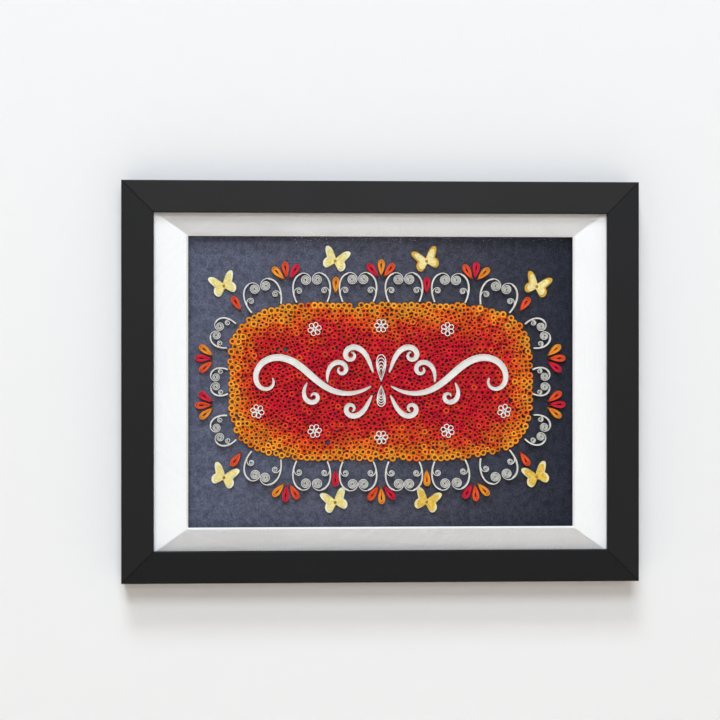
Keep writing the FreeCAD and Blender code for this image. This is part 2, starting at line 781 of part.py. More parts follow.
def make_drops():
    groups = {f"drops_{colour}": [] for colour in DROP_COLOURS}
    names = list(groups)
    length, width = size("drop_length"), size("drop_width")
    depth = size("strip_depth")
    fan_angle = math.radians(size("fan_angle"))
    butterflies = butterfly_gaps()
    for gap, (across, up, heading) in enumerate(bed_row(0, int(size("scroll_pairs")), 0.5)):
        height = scroll_height(heading)
        if gap in butterflies:
            leans = (0,)
            start = size("foot_gap") + size("fan_radius")
        else:
            leans = (-fan_angle, 0, fan_angle)
            start = height - size("fan_radius")
        for number_in_fan, lean in enumerate(leans):
            tip_heading = heading + lean
            tip_x = across + start * math.cos(heading) + size("fan_radius") * math.cos(tip_heading)
            tip_z = up + start * math.sin(heading) + size("fan_radius") * math.sin(tip_heading)
            shape = raised(moved(drop_outline(length, width), tip_x, tip_z, tip_heading), depth)
            groups[names[(gap + number_in_fan) % 3]].append(shape)
    for name, solids in groups.items():
        stand_on_card(name, solids)


make_drops()


# butterflies: two pairs of raised wings on a bead that stands on the card
UPPER_LOBE = (36.0, 44.0, 1.0)
LOWER_LOBE = (-42.0, 40.0, 0.76)
WING_ANGLES = (66, 50, 30, 12, -4, -22, -42, -64)
WAIST_SHARE = 0.35
WING_SEAT_SHARE = 1 / 3


def wing_radius(angle):
    """two round lobes: reach times the root of a cosine about the middle of each"""
    lobes = []
    for middle, spread, share in (UPPER_LOBE, LOWER_LOBE):
        swing = math.cos(math.pi / 2 * min(1, abs(angle - middle) / spread))
        lobes.append(share * math.sqrt(swing))
    return size("wing_reach") * max(*lobes, WAIST_SHARE)


def butterfly_solid(across, up, heading):
    corners = [(0.0, 0.0)]
    for angle in WING_ANGLES:
        radius = wing_radius(angle)
        turn = math.radians(angle)
        corners.append((radius * math.cos(turn), radius * math.sin(turn)))
    wing = raised(corners, size("wing_gauge"))
    wing.rotate(FreeCAD.Vector(0, 0, 0), FreeCAD.Vector(0, 1, 0), -size("wing_tilt"))
    wing.translate(FreeCAD.Vector(0, 0, size("bead_height") * WING_SEAT_SHARE))
    other_wing = wing.mirror(FreeCAD.Vector(0, 0, 0), FreeCAD.Vector(1, 0, 0))
    bead = raised(polygon(0, 0, size("bead_radius"), 6), size("bead_height"))
    solid = bead.fuse([wing, other_wing]).removeSplitter()
    solid.rotate(FreeCAD.Vector(0, 0, 0), FreeCAD.Vector(0, 0, 1), math.degrees(heading) - 90)
    solid.translate(FreeCAD.Vector(across, up, 0))
    return solid


def make_butterflies():
    gaps = butterfly_gaps()
    row = bed_row(0, int(size("scroll_pairs")), 0.5)
    for count, gap in enumerate(gaps, 1):
        across, up, heading = row[gap]
        outset = butterfly_outset(scroll_height(heading))
        lean = math.radians(math.copysign(size("butterfly_lean"), across * up))
        middle = (across + outset * math.cos(heading), up + outset * math.sin(heading))
        solid = butterfly_solid(*middle, heading + lean)
        stand_on_card(f"butterfly_{count}", [solid])


make_butterflies()


# blossoms: six loop petals round an open middle, glued on the bed
BLOSSOM_PLACES = (
    (0, 0.68),
    (0, -0.68),
    (0.42, 0.64),
    (-0.42, 0.64),
    (0.42, -0.6),
    (-0.42, -0.6),
    (0.78, -0.36),
    (-0.78, -0.36),
)
PETAL_COUNT = 6
PETAL_POINT_COUNT = 3
VALLEY_SHARE = 0.55


def make_blossoms():
    radius = size("blossom_radius")
    solids = []
    for across_share, up_share in BLOSSOM_PLACES:
        across = across_share * bed_half_length()
        up = up_share * bed_half_height()
        outline = []
        for k in range(PETAL_COUNT * PETAL_POINT_COUNT):
            turn = 2 * math.pi * k / (PETAL_COUNT * PETAL_POINT_COUNT)
            reach = radius * (VALLEY_SHARE if k % PETAL_POINT_COUNT == 0 else 1)
            outline.append((across + reach * math.cos(turn), up + reach * math.sin(turn)))
        solids.append(raised(outline, size("blossom_height")))
    stand_on_card("blossoms", solids, lift="sizes.bed_depth")


make_blossoms()


# raised flourish across the middle of the bed: swelling strokes, mirrored left and right, and two
# petals at the centre. Each stroke is (start, heading, length, bends, share of the full width), with
# places and lengths on a grid that has this many steps to half the bed's length
FLOURISH_GRID_COUNT = 139
FLOURISH_CROWDING = 1.5
STROKES = (
    ((9, -4), -34, 150, ((0, 1.5), (0.22, 1.7), (0.4, 0), (0.58, -2.2), (0.8, -3.8), (1, -11)), 1.0),
    ((7, 8), 68, 58, ((0, 1), (0.3, -2.5), (0.6, -8), (1, -20)), 0.8),
    ((8, -12), -62, 50, ((0, -1), (0.3, 2.5), (0.6, 9), (1, 22)), 0.76),
    ((47, -0.5), 84, 46, ((0, 1), (0.3, 5), (0.6, 9), (1, 22)), 0.7),
    ((65, -1), -62, 38, ((0, -1), (0.3, -6), (0.6, -10), (1, -24)), 0.68),
)
STROKE_STEP_COUNTS = (13, 8, 8, 7, 7)
STROKE_TIP_SHARE = 0.2
STROKE_FULLNESS = 0.7
CENTRE_PETALS = ((0, 0, 90, 24, 9), (0, -3, -90, 19, 8))


def stroke_outline(stroke, steps):
    start, heading, length, bends, share = stroke
    scale = bed_half_length() / FLOURISH_GRID_COUNT
    start = (start[0] * scale, start[1] * scale)
    bends = [(place_share, bend / scale) for place_share, bend in bends]
    path = walk(start, heading, length * scale, bends, steps, FLOURISH_CROWDING)
    full = size("flourish_width") * share
    widths = []
    for k in range(steps + 1):
        share = 1 - (1 - k / steps) ** FLOURISH_CROWDING
        swelling = abs(math.sin(math.pi * share)) ** STROKE_FULLNESS
        widths.append(full * (STROKE_TIP_SHARE + (1 - STROKE_TIP_SHARE) * swelling))
    return strip_outline(path, widths)


def make_flourish():
    height = size("flourish_height")
    solids = []
    for stroke, steps in zip(STROKES, STROKE_STEP_COUNTS):
        outline = stroke_outline(stroke, steps)
        solids.append(raised(outline, height))
        solids.append(raised([(-across, up) for across, up in outline], height))
    scale = bed_half_length() / FLOURISH_GRID_COUNT
    for across, up, heading, length, width in CENTRE_PETALS:
        outline = drop_outline(length * scale, width * scale)
        petal = moved(outline, across * scale, up * scale, math.radians(heading))
        solids.append(raised(petal, height))
    stand_on_card("flourish", solids, lift="sizes.bed_depth")


make_flourish()
doc.recompute()

# every object has to be sound before anything is written
for thing in doc.Objects:
    assert not {"Invalid", "Error"} & set(thing.State), f"{thing.Name} failed: {thing.State}"
for thing in parts:
    assert not thing.Shape.isNull() and thing.Shape.isValid(), f"{thing.Label} has no valid shape"

os.makedirs("parts", exist_ok=True)
for thing in parts:
    thing.Shape.exportStep(f"parts/{thing.Label}.step")
print(len(parts), "sub-parts written")
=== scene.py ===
import math

import bpy
import numpy as np
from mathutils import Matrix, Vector


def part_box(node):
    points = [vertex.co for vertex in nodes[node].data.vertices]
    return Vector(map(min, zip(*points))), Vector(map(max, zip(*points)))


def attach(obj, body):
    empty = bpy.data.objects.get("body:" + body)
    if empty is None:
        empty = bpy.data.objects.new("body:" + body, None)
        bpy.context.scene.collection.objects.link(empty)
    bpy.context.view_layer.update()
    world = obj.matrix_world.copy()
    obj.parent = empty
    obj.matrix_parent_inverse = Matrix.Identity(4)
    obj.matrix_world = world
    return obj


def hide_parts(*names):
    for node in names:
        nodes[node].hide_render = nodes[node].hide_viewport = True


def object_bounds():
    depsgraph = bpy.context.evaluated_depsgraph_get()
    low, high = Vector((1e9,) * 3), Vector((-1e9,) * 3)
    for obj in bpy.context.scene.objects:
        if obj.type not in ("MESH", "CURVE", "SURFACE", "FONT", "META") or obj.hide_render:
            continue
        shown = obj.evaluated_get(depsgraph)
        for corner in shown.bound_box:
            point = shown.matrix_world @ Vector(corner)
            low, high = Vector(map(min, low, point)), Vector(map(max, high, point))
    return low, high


# Framed quilled paper art. The frame, glass, mat and card come from the model as they are and get
# their finishes here. The quilled paper is worked out strip by strip and stands where the plain
# pieces stand: a bed of ring coils, scrolls, teardrops, blossoms, butterflies and a raised flourish.
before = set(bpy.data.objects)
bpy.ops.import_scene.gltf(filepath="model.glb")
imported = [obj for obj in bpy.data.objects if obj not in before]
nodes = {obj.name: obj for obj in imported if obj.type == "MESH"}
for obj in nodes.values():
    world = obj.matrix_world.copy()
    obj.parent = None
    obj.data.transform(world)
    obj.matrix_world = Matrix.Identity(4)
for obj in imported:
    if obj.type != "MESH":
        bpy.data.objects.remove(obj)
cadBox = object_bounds()
mm = 0.001

cardLow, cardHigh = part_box("slate_card")
cardFront = cardLow.y
artMiddle = (cardLow.z + cardHigh.z) / 2
frameLow, frameHigh = cadBox


# sRGB hex to linear colour
def linear(hexCode):
    channels = np.array([int(hexCode[k:k + 2], 16) for k in (1, 3, 5)]) / 255
    curve = np.where(channels <= 0.04045, channels / 12.92, ((channels + 0.055) / 1.055) ** 2.4)
    return (*curve.tolist(), 1.0)


# sets a node's sockets: to plain values, to outputs that link in, or to nodes, which stand for their
# first output in use
def setSockets(tree, node, sockets):
    for name, value in sockets.items():
        named = (one for one in node.inputs if one.enabled and one.name == name)
        socket = node.inputs[name] if isinstance(name, int) else next(named)
        if isinstance(value, bpy.types.Node):
            value = next(one for one in value.outputs if one.enabled)
        if isinstance(value, bpy.types.NodeSocket):
            tree.links.new(value, socket)
        else:
            socket.default_value = value


# adds one node with its properties, sockets and a ramp's (position, hex colour) stops. Kind is the
# node type's name without its start, ShaderNode
def addNode(tree, kind, sockets=None, stops=(), **properties):
    node = tree.nodes.new("ShaderNode" + kind)
    for name, value in properties.items():
        setattr(node, name, value)
    if stops:
        ramp = node.color_ramp
        while len(ramp.elements) < len(stops):
            ramp.elements.new(1.0)
        for element, (position, hexCode) in zip(ramp.elements, stops):
            element.position = position
            element.color = linear(hexCode)
    setSockets(tree, node, sockets or {})
    return node


# a new material with its shader's plain values set
def newMaterial(name, values):
    material = bpy.data.materials.new(name)
    material.use_nodes = True
    tree = material.node_tree
    shader = tree.nodes["Principled BSDF"]
    for socket, value in values.items():
        shader.inputs[socket].default_value = value
    return material, tree, shader


# scale of a texture whose pattern repeats about every so many millimetres
def every(size):
    return 1 / (size * mm)


# noise of about the given size that also bumps the surface, such as fibres, tooth or draw marks
def addGrain(tree, shader, place, size, strength, depth, **noise):
    grain = addNode(tree, "TexNoise", {"Vector": place, "Scale": every(size), **noise})
    bump = addNode(tree, "Bump", {"Strength": strength, "Distance": depth * mm, "Height": grain})
    setSockets(tree, shader, {"Normal": bump})
    return grain


# satin black lacquer on a wood moulding, sprayed: even, with a soft sheen and a faint orange peel. The
# rails' tones are painted light: lightest on the top rail, darker on the sides, darkest at the bottom, as
# light from above falls on them. A dark line shows at the mitres
def blackSatinLacquer(colour):
    look = {"dull": 0.55, "shiny": 0.46, "peel": 1.6, "drift": 45.0, "line": "#010101"}
    lineHalf, lineEdge = 0.2, 0.55
    material, tree, shader = newMaterial("blackSatinLacquer", {"Specular IOR Level": 0.19})
    place = addNode(tree, "TexCoord").outputs["Object"]
    drift = addNode(tree, "TexNoise", {"Vector": place, "Scale": every(look["drift"])})
    peel = addNode(tree, "TexNoise", {"Vector": place, "Scale": every(look["peel"])})
    gloss = addNode(tree, "MapRange", {"Value": drift, "To Min": look["shiny"], "To Max": look["dull"]})
    # off the mitre line: distance along X from the frame's middle less the distance along Z from it,
    # less what the two differ by at a corner
    apart = addNode(tree, "SeparateXYZ", {"Vector": place})
    across = addNode(tree, "Math", {0: apart.outputs["X"]}, operation="ABSOLUTE")
    height = addNode(tree, "Math", {0: apart.outputs["Z"], 1: artMiddle}, operation="SUBTRACT")
    up = addNode(tree, "Math", {0: height}, operation="ABSOLUTE")
    diagonal = addNode(tree, "Math", {0: across, 1: up}, operation="SUBTRACT")
    corner = frameHigh.x - artMiddle
    offLine = addNode(tree, "Math", {0: diagonal, 1: corner}, operation="SUBTRACT")
    eitherSide = addNode(tree, "Math", {0: offLine}, operation="ABSOLUTE")
    line = addNode(
        tree,
        "MapRange",
        {"Value": eitherSide, "From Min": lineHalf * mm, "From Max": lineEdge * mm},
    )
    tinted = addNode(tree, "ValToRGB", {"Fac": line}, [(0.0, look["line"]), (1.0, colour)])
    groove = addNode(tree, "Bump", {"Strength": 1.0, "Distance": 0.4 * mm, "Height": line})
    bump = addNode(
        tree,
        "Bump",
        {"Strength": 0.12, "Distance": 0.05 * mm, "Height": peel, "Normal": groove},
    )
    setSockets(tree, shader, {"Base Color": tinted, "Roughness": gloss, "Normal": bump})
    return material


# float glass with an anti-glare coat: it shows only as a faint darker film over the paper
def clearFloatGlass():
    values = {"Base Color": linear("#26302c"), "Roughness": 0.03, "IOR": 1.5, "Alpha": 0.03}
    return newMaterial("clearFloatGlass", values)[0]


# extruded plastic spacer, matte black, with fine draw marks that dull it here and there
def matteBlackSpacer():
    look = {"colour": "#1d1d1e", "mark": 0.8, "shiny": 0.6, "dull": 0.8}
    material, tree, shader = newMaterial("matteBlackSpacer", {"Base Color": linear(look["colour"])})
    place = addNode(tree, "TexCoord").outputs["Object"]
    marks = addGrain(tree, shader, place, look["mark"], 0.2, 0.05)
    gloss = addNode(tree, "MapRange", {"Value": marks, "To Min": look["shiny"], "To Max": look["dull"]})
    setSockets(tree, shader, {"Roughness": gloss})
    return material


# mat board: white surface paper that clouds a little towards its whiter core, with a fine tooth
def whiteMatBoard():
    look = {"paper": "#faf9f8", "core": "#fcfcfb", "tooth": 0.9, "cloud": 30.0}
    values = {"Roughness": 0.82, "Specular IOR Level": 0.25}
    material, tree, shader = newMaterial("whiteMatBoard", values)
    place = addNode(tree, "TexCoord").outputs["Object"]
    cloud = addNode(tree, "TexNoise", {"Vector": place, "Scale": every(look["cloud"])})
    addGrain(tree, shader, place, look["tooth"], 0.25, 0.06, Detail=4.0)
    stops = [(0.3, look["paper"]), (0.7, look["core"])]
    colour = addNode(tree, "ValToRGB", {"Fac": cloud}, stops)
    setSockets(tree, shader, {"Base Color": colour})
    return material


# textured slate card: pulp fibres mottle it, and painted light makes its tone fall off from left to right,
# as if lit from the left
def slateCardStock():
    look = {"left": "#5c6073", "middle": "#50515f", "right": "#2b2d38", "fibre": 1.5, "mottle": 5.0}
    values = {"Roughness": 0.9, "Specular IOR Level": 0.1}
    material, tree, shader = newMaterial("slateCardStock", values)
    place = addNode(tree, "TexCoord").outputs["Object"]
    apart = addNode(tree, "SeparateXYZ", {"Vector": place})
    tone = addNode(
        tree,
        "MapRange",
        {"Value": apart.outputs["X"], "From Min": cardLow.x, "From Max": cardHigh.x},
    )
    mottle = addNode(
        tree,
        "TexNoise",
        {"Vector": place, "Scale": every(look["mottle"]), "Detail": 5.0, "Roughness": 0.65},
    )
    fibre = addGrain(tree, shader, place, look["fibre"], 0.35, 0.12, Detail=3.0)
    # painted light: the card's colour steps darker from left to right
    stops = [(0.1, look["left"]), (0.5, look["middle"]), (0.9, look["right"])]
    paintedSideLight = addNode(tree, "ValToRGB", {"Fac": tone}, stops)
    both = addNode(tree, "Math", {0: mottle, 1: fibre}, operation="MULTIPLY")
    shade = addNode(
        tree,
        "MapRange",
        {"Value": both, "From Min": 0.15, "From Max": 0.36, "To Min": 0.62, "To Max": 1.36},
    )
    colour = addNode(tree, "VectorMath", {"Vector": paintedSideLight, "Scale": shade}, operation="SCALE")
    setSockets(tree, shader, {"Base Color": colour})
    return material


# hardboard: pressed brown fibres, flecked, with a slight polish from the press
def pressedHardboard():
    look = {"dark": "#6f4e32", "light": "#967049", "fleck": 1.1, "cloud": 45.0}
    material, tree, shader = newMaterial("pressedHardboard", {"Roughness": 0.62})
    place = addNode(tree, "TexCoord").outputs["Object"]
    fleck = addGrain(tree, shader, place, look["fleck"], 0.3, 0.1, Detail=6.0, Roughness=0.7)
    cloud = addNode(tree, "TexNoise", {"Vector": place, "Scale": every(look["cloud"])})
    both = addNode(tree, "Math", {0: fleck, 1: cloud}, operation="MULTIPLY")
    stops = [(0.1, look["dark"]), (0.42, look["light"])]
    colour = addNode(tree, "ValToRGB", {"Fac": both}, stops)
    setSockets(tree, shader, {"Base Color": colour})
    return material


# zinc plated steel: a dull metal with cloudy grey patches from the plating bath
def zincPlatedSteel():
    look = {"dark": "#8d9196", "light": "#bfc3c7", "patch": 2.2, "shiny": 0.28, "dull": 0.48}
    material, tree, shader = newMaterial("zincPlatedSteel", {"Metallic": 1.0})
    place = addNode(tree, "TexCoord").outputs["Object"]
    patch = addNode(tree, "TexVoronoi", {"Vector": place, "Scale": every(look["patch"])})
    stops = [(0.1, look["dark"]), (0.9, look["light"])]
    colour = addNode(tree, "ValToRGB", {"Fac": patch.outputs["Color"]}, stops)
    gloss = addNode(
        tree,
        "MapRange",
        {"Value": patch.outputs["Distance"], "To Min": look["shiny"], "To Max": look["dull"]},
    )
    setSockets(tree, shader, {"Base Color": colour, "Roughness": gloss})
    return material


# node names, or how they begin, and their finishes
frameFinishes = {
    # tones of the rails: painted light, lightest on the top rail and darkest on the bottom one
    "frame_rail_top": blackSatinLacquer("#1e1d1d"),
    "frame_rail_left": blackSatinLacquer("#151414"),
    "frame_rail_right": blackSatinLacquer("#141314"),
    "frame_rail_bottom": blackSatinLacquer("#0c0b0b"),
    "glass_pane": clearFloatGlass(),
    "spacer_": matteBlackSpacer(),
    "mat_board": whiteMatBoard(),
    "slate_card": slateCardStock(),
    "backing_board": pressedHardboard(),
    "corner_v_nails": zincPlatedSteel(),
}
zincSteel = frameFinishes["corner_v_nails"]
frameFinishes.update({name: zincSteel for name in ("framers_points", "sawtooth_hanger", "hanger_nails")})
for start, material in frameFinishes.items():
    for name, thing in nodes.items():
        if name.startswith(start):
            thing.data.materials.clear()
            thing.data.materials.append(material)
print("frame finishes done")


# dyed quilling paper, wound into rings: the dye attribute picks the colour, the wall attribute draws the
# wound layers on the edge that faces the viewer, and the third attribute makes each ring a little lighter
# or darker at random and paints shade on its foot and floor, much darker at the base and down in the hole
def dyedRingPaper():
    look = {
        "dyes": ["#d81530", "#e13326", "#ee5820", "#f58222", "#faa62e"],
        "layers": 3.0,
        "fibre": 0.7,
    }
    values = {"Roughness": 0.6, "Specular IOR Level": 0.15}
    material, tree, shader = newMaterial("dyedRingPaper", values)
    place = addNode(tree, "TexCoord").outputs["Object"]
    dye, wall, batchAndShade = (
        addNode(tree, "Attribute", attribute_name=title).outputs["Fac"]
        for title in ("dye", "wall", "batchAndShade")
    )
    stops = list(zip((0.0, 0.25, 0.5, 0.75, 1.0), look["dyes"]))
    colour = addNode(tree, "ValToRGB", {"Fac": dye}, stops)
    layers = look["layers"] * 2 * math.pi
    turns = addNode(tree, "Math", {0: wall, 1: layers}, operation="MULTIPLY")
    wave = addNode(tree, "Math", {0: turns}, operation="COSINE")
    shade = addNode(
        tree,
        "MapRange",
        {"Value": wave, "From Min": -1.0, "From Max": 1.0, "To Min": 1.05, "To Max": 0.88},
    )
    both = addNode(tree, "Math", {0: shade, 1: batchAndShade}, operation="MULTIPLY")
    dyed = addNode(tree, "VectorMath", {"Vector": colour, "Scale": both}, operation="SCALE")
    addGrain(tree, shader, place, look["fibre"], 0.3, 0.05)
    setSockets(tree, shader, {"Base Color": dyed})
    return material


# quilling paper strip, seen on its edge: one colour that drifts a little, with paper fibres
def stripPaper(name, dark, light, roughness=0.6, sheen=0.0):
    look = {"fibre": 0.6, "drift": 6.0}
    values = {
        "Roughness": roughness,
        "Specular IOR Level": 0.2,
        "Sheen Weight": sheen,
        "Sheen Roughness": 0.4,
    }
    material, tree, shader = newMaterial(name, values)
    place = addNode(tree, "TexCoord").outputs["Object"]
    drift = addNode(tree, "TexNoise", {"Vector": place, "Scale": every(look["drift"]), "Detail": 4.0})
    colour = addNode(tree, "ValToRGB", {"Fac": drift}, [(0.35, dark), (0.65, light)])
    addGrain(tree, shader, place, look["fibre"], 0.25, 0.04)
    setSockets(tree, shader, {"Base Color": colour})
    return material


# punched and embossed card in two layers: the lower one shows as a rim in a tone of its own round the
# upper one, with paper fibres and a pressed grain that mottles it
def embossedCard(name, rim, dark, light):
    look = {"fibre": 0.8, "grain": 1.6}
    values = {"Roughness": 0.55, "Specular IOR Level": 0.2}
    material, tree, shader = newMaterial(name, values)
    place = addNode(tree, "TexCoord").outputs["Object"]
    layer = addNode(tree, "Attribute", attribute_name="layer").outputs["Fac"]
    grain = addNode(tree, "TexNoise", {"Vector": place, "Scale": every(look["grain"])})
    field = addNode(tree, "ValToRGB", {"Fac": grain}, [(0.38, dark), (0.62, light)])
    colour = addNode(tree, "Mix", {"Factor": layer, "A": linear(rim), "B": field}, data_type="RGBA")
    addGrain(tree, shader, place, look["fibre"], 0.4, 0.08)
    setSockets(tree, shader, {"Base Color": colour})
    return material


ringPaper = dyedRingPaper()
silverPearlPaper = stripPaper("silverPearlPaper", "#e6e3da", "#f7f5ef", 0.45, 0.1)
whitePearlPaper = stripPaper("whitePearlPaper", "#efece5", "#fbf9f5", 0.45, 0.1)
dropPapers = {
    "crimson": stripPaper("crimsonStripPaper", "#cc1230", "#e01e3a"),
    "orange_red": stripPaper("orangeRedStripPaper", "#e2441a", "#f25c26"),
    "orange": stripPaper("orangeStripPaper", "#ea8519", "#f99f2c"),
}
paleYellowCard = embossedCard("paleYellowEmbossedCard", "#f8f2cf", "#e8d372", "#f4e9a6")
goldenCard = embossedCard("goldenEmbossedCard", "#f5e8ae", "#dcae36", "#efcd62")
goldEdgedCard = embossedCard("goldEdgedEmbossedCard", "#dfb03c", "#ecd67c", "#f7ecb4")
beadGilt = stripPaper("giltBeadLacquer", "#9a642c", "#c9954a", 0.3)
print("paper finishes done")


# art plane to the frame's own place: across, up and lift in millimetres, from the card's middle
def standOnCard(points):
    across, up, lift = points[:, 0], points[:, 1], points[:, 2]
    return np.stack([across * mm, cardFront - lift * mm, artMiddle + up * mm], -1)


# joins (points, faces) parts: points stack up and the faces' numbers shift along
def joinParts(parts):
    counts = np.cumsum([0] + [len(part[0]) for part in parts])
    points = np.concatenate([part[0] for part in parts])
    faces = [[index + shift for index in face] for part, shift in zip(parts, counts) for face in part[1]]
    return points, faces


# a new object of a mesh, lamp or camera, linked into the scene
def addObject(name, data):
    thing = bpy.data.objects.new(name, data)
    bpy.context.scene.collection.objects.link(thing)
    return thing


# one finished piece: mesh, material, attributes, the body it rides on and the nodes it stands for
def makePiece(name, parts, material, replaced, attributes=None, sharpAngle=38):
    points, faces = joinParts(parts)
    mesh = bpy.data.meshes.new(name)
    mesh.from_pydata(standOnCard(points).tolist(), [], faces)
    for title, values in (attributes or {}).items():
        layer = mesh.attributes.new(title, "FLOAT", "POINT")
        layer.data.foreach_set("value", np.asarray(values, np.float32))
    mesh.shade_smooth()
    mesh.set_sharp_from_angle(angle=math.radians(sharpAngle))
    mesh.materials.append(material)
    mesh.validate()
    piece = addObject(name, mesh)
    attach(piece, "root")
    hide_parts(*replaced)
    return piece


# faces of a tube whose points lie in rows of corners: each quad runs from a corner to the next one and
# to the next row, and an open tube has a face over each end
def tubeFaces(count, corners, closed=False):
    spans = count if closed else count - 1
    i, j = np.meshgrid(np.arange(spans), np.arange(corners), indexing="ij")
    row, nextRow, nextJ = i * corners, (i + 1) % count * corners, (j + 1) % corners
    quads = np.stack([row + j, row + nextJ, nextRow + nextJ, nextRow + j], -1)
    faces = quads.reshape(-1, 4).tolist()
    if not closed:
        faces.append(list(range(corners))[::-1])
        faces.append(list(range((count - 1) * corners, count * corners)))
    return faces


# a section carried along a flat path: each point is the path's point, plus its left normal times the
# section's offset, lifted by the section's lift. Path is (across, up, heading of travel) arrays
def sweep(path, offsets, lifts, closed=False):
    across, up, heading = (np.asarray(values, float)[:, None] for values in path)
    count, corners = len(across), np.shape(offsets)[-1]
    offsets = np.broadcast_to(offsets, (count, corners))
    lifts = np.broadcast_to(lifts, (count, corners))
    points = np.stack([across - np.sin(heading) * offsets, up + np.cos(heading) * offsets, lifts], -1)
    return points.reshape(-1, 3), tubeFaces(count, corners, closed)


# a paper strip on its edge: a rectangle between two offsets from the path and two lifts
def strip(path, low, high, bottom, top, closed=False):
    return sweep(path, [low, high, high, low], [bottom, bottom, top, top], closed)


# closed outline as a path: heading from the points on either side of each
def closedPath(across, up):
    heading = np.arctan2(np.roll(up, -1) - np.roll(up, 1), np.roll(across, -1) - np.roll(across, 1))
    return across, up, heading


# a part's mirror image: across changes its sign, and the faces turn round
def mirrored(part):
    points, faces = part
    return points * [-1, 1, 1], [face[::-1] for face in faces]


# turns a part so that its up axis follows heading, mirrors it if flip is 1, and moves it into place
def moveParts(parts, across, up, heading, flip=-1):
    moved = []
    c, s = math.cos(heading), math.sin(heading)
    for points, faces in parts:
        u, v, lift = points.T
        turned = np.stack([across + v * c - flip * u * s, up + v * s + flip * u * c, lift], -1)
        moved.append((turned, faces if flip < 0 else [face[::-1] for face in faces]))
    return moved


# size and form of the bed, and how many pairs of scrolls stand round it
bed = {
    "halfLength": 139.0,
    "halfHeight": 72.0,
    "squareness": 0.74,
    "swell": 0.045,
    "samples": 720,
    "pairs": 18,
}


# squarish ellipse that swells at its shoulders: the sine and cosine to a power, times a swell that
# follows four times the angle
def bedPoint(angle):
    c, s = np.cos(angle), np.sin(angle)
    swell = 1.0 - bed["swell"] * np.cos(4 * angle)
    across = bed["halfLength"] * np.sign(c) * np.abs(c) ** bed["squareness"] * swell
    up = bed["halfHeight"] * np.sign(s) * np.abs(s) ** bed["squareness"] * swell
    return across, up


# outline moved outwards along its normal, with the length to each sample
def bedLine(outset, neighbour=5):
    across, up = bedPoint(2 * np.pi * np.arange(bed["samples"]) / bed["samples"])
    alongAcross = np.roll(across, neighbour) - np.roll(across, -neighbour)
    alongUp = np.roll(up, -neighbour) - np.roll(up, neighbour)
    heading = np.unwrap(np.arctan2(alongAcross, alongUp))
    across = across + outset * np.cos(heading)
    up = up + outset * np.sin(heading)
    steps = np.hypot(np.roll(across, -1) - across, np.roll(up, -1) - up)
    return across, up, heading, np.concatenate([[0], np.cumsum(steps)])


# places at even spacing along the moved outline: across, up and outward heading
def bedRow(outset, count, phase=0.0):
    across, up, heading, reach = bedLine(outset)
    wanted = reach[-1] * (np.arange(count) + phase) / count
    across = np.append(across, across[0])
    up = np.append(up, up[0])
    heading = np.append(heading, heading[0] + 2 * np.pi)
    return tuple(np.interp(wanted, reach, values) for values in (across, up, heading))


# bed of ring coils
rings = {
    "pitch": 4.85,
    "scatter": 1.9,
    "smallest": 2.1,
    "largest": 2.65,
    "rimExtra": 0.22,
    "stray": (-0.5, 1.5),
    "height": 4.0,
    "heightSpread": 0.9,
    "wallShare": 0.45,
    "floorShare": 0.85,
    "floorLift": 0.9,
    "footFlare": 1.22,
    # painted shade: how dark the foot and floor of each ring are coloured
    "footPaintedShade": 0.3,
    "batches": (0.84, 1.22),
    "tilt": 13.0,
    "segments": 10,
    "wallSpread": (0.85, 1.15),
    "floorHole": 0.06,
    "innerDrop": 0.3,
    "outerDrop": 0.35,
    "leanFrom": 1.0,
    "gridMargin": 5,
    "edgeRoom": 1.6,
    "rimDepth": 9,
    "relaxSteps": 150,
    "neighbours": 12,
    "searchEvery": 6,
    "push": 0.4,
    "pullEvery": 3,
    "pull": 0.8,
    "growth": 1.06,
    "squeeze": 0.2,
    "radiusRange": (1.8, 3.1),
    "rimWidth": 13.0,
    "middleWidth": 19.0,
    "dyeDepths": [2, 6, 12, 20, 28, 40],
    "dyes": [0.95, 0.82, 0.64, 0.4, 0.2, 0.06],
    "dyeChance": 0.13,
    "crossWave": {"height": 4.5, "lengths": (19, 15), "shifts": (0.7, -0.4)},
    "slantWave": {"height": 3.0, "lengths": (11, 9)},
}


# depth of points inside the outline, and the outward normal at the nearest sample
def depthInBed(points):
    across, up, heading = bedLine(0)[:3]
    gapAcross = points[:, 0, None] - across
    gapUp = points[:, 1, None] - up
    nearest = np.argmin(gapAcross ** 2 + gapUp ** 2, axis=1)
    row = np.arange(len(points))
    normal = np.stack([np.cos(heading[nearest]), np.sin(heading[nearest])], -1)
    outside = gapAcross[row, nearest] * normal[:, 0] + gapUp[row, nearest] * normal[:, 1]
    return -outside, normal


# numbers of the points that lie nearest to each point, itself left out
def nearestPoints(points, count):
    gap = points[:, None] - points
    square = (gap ** 2).sum(-1)
    np.fill_diagonal(square, 1e6)
    return np.argpartition(square, count, axis=1)[:, :count]


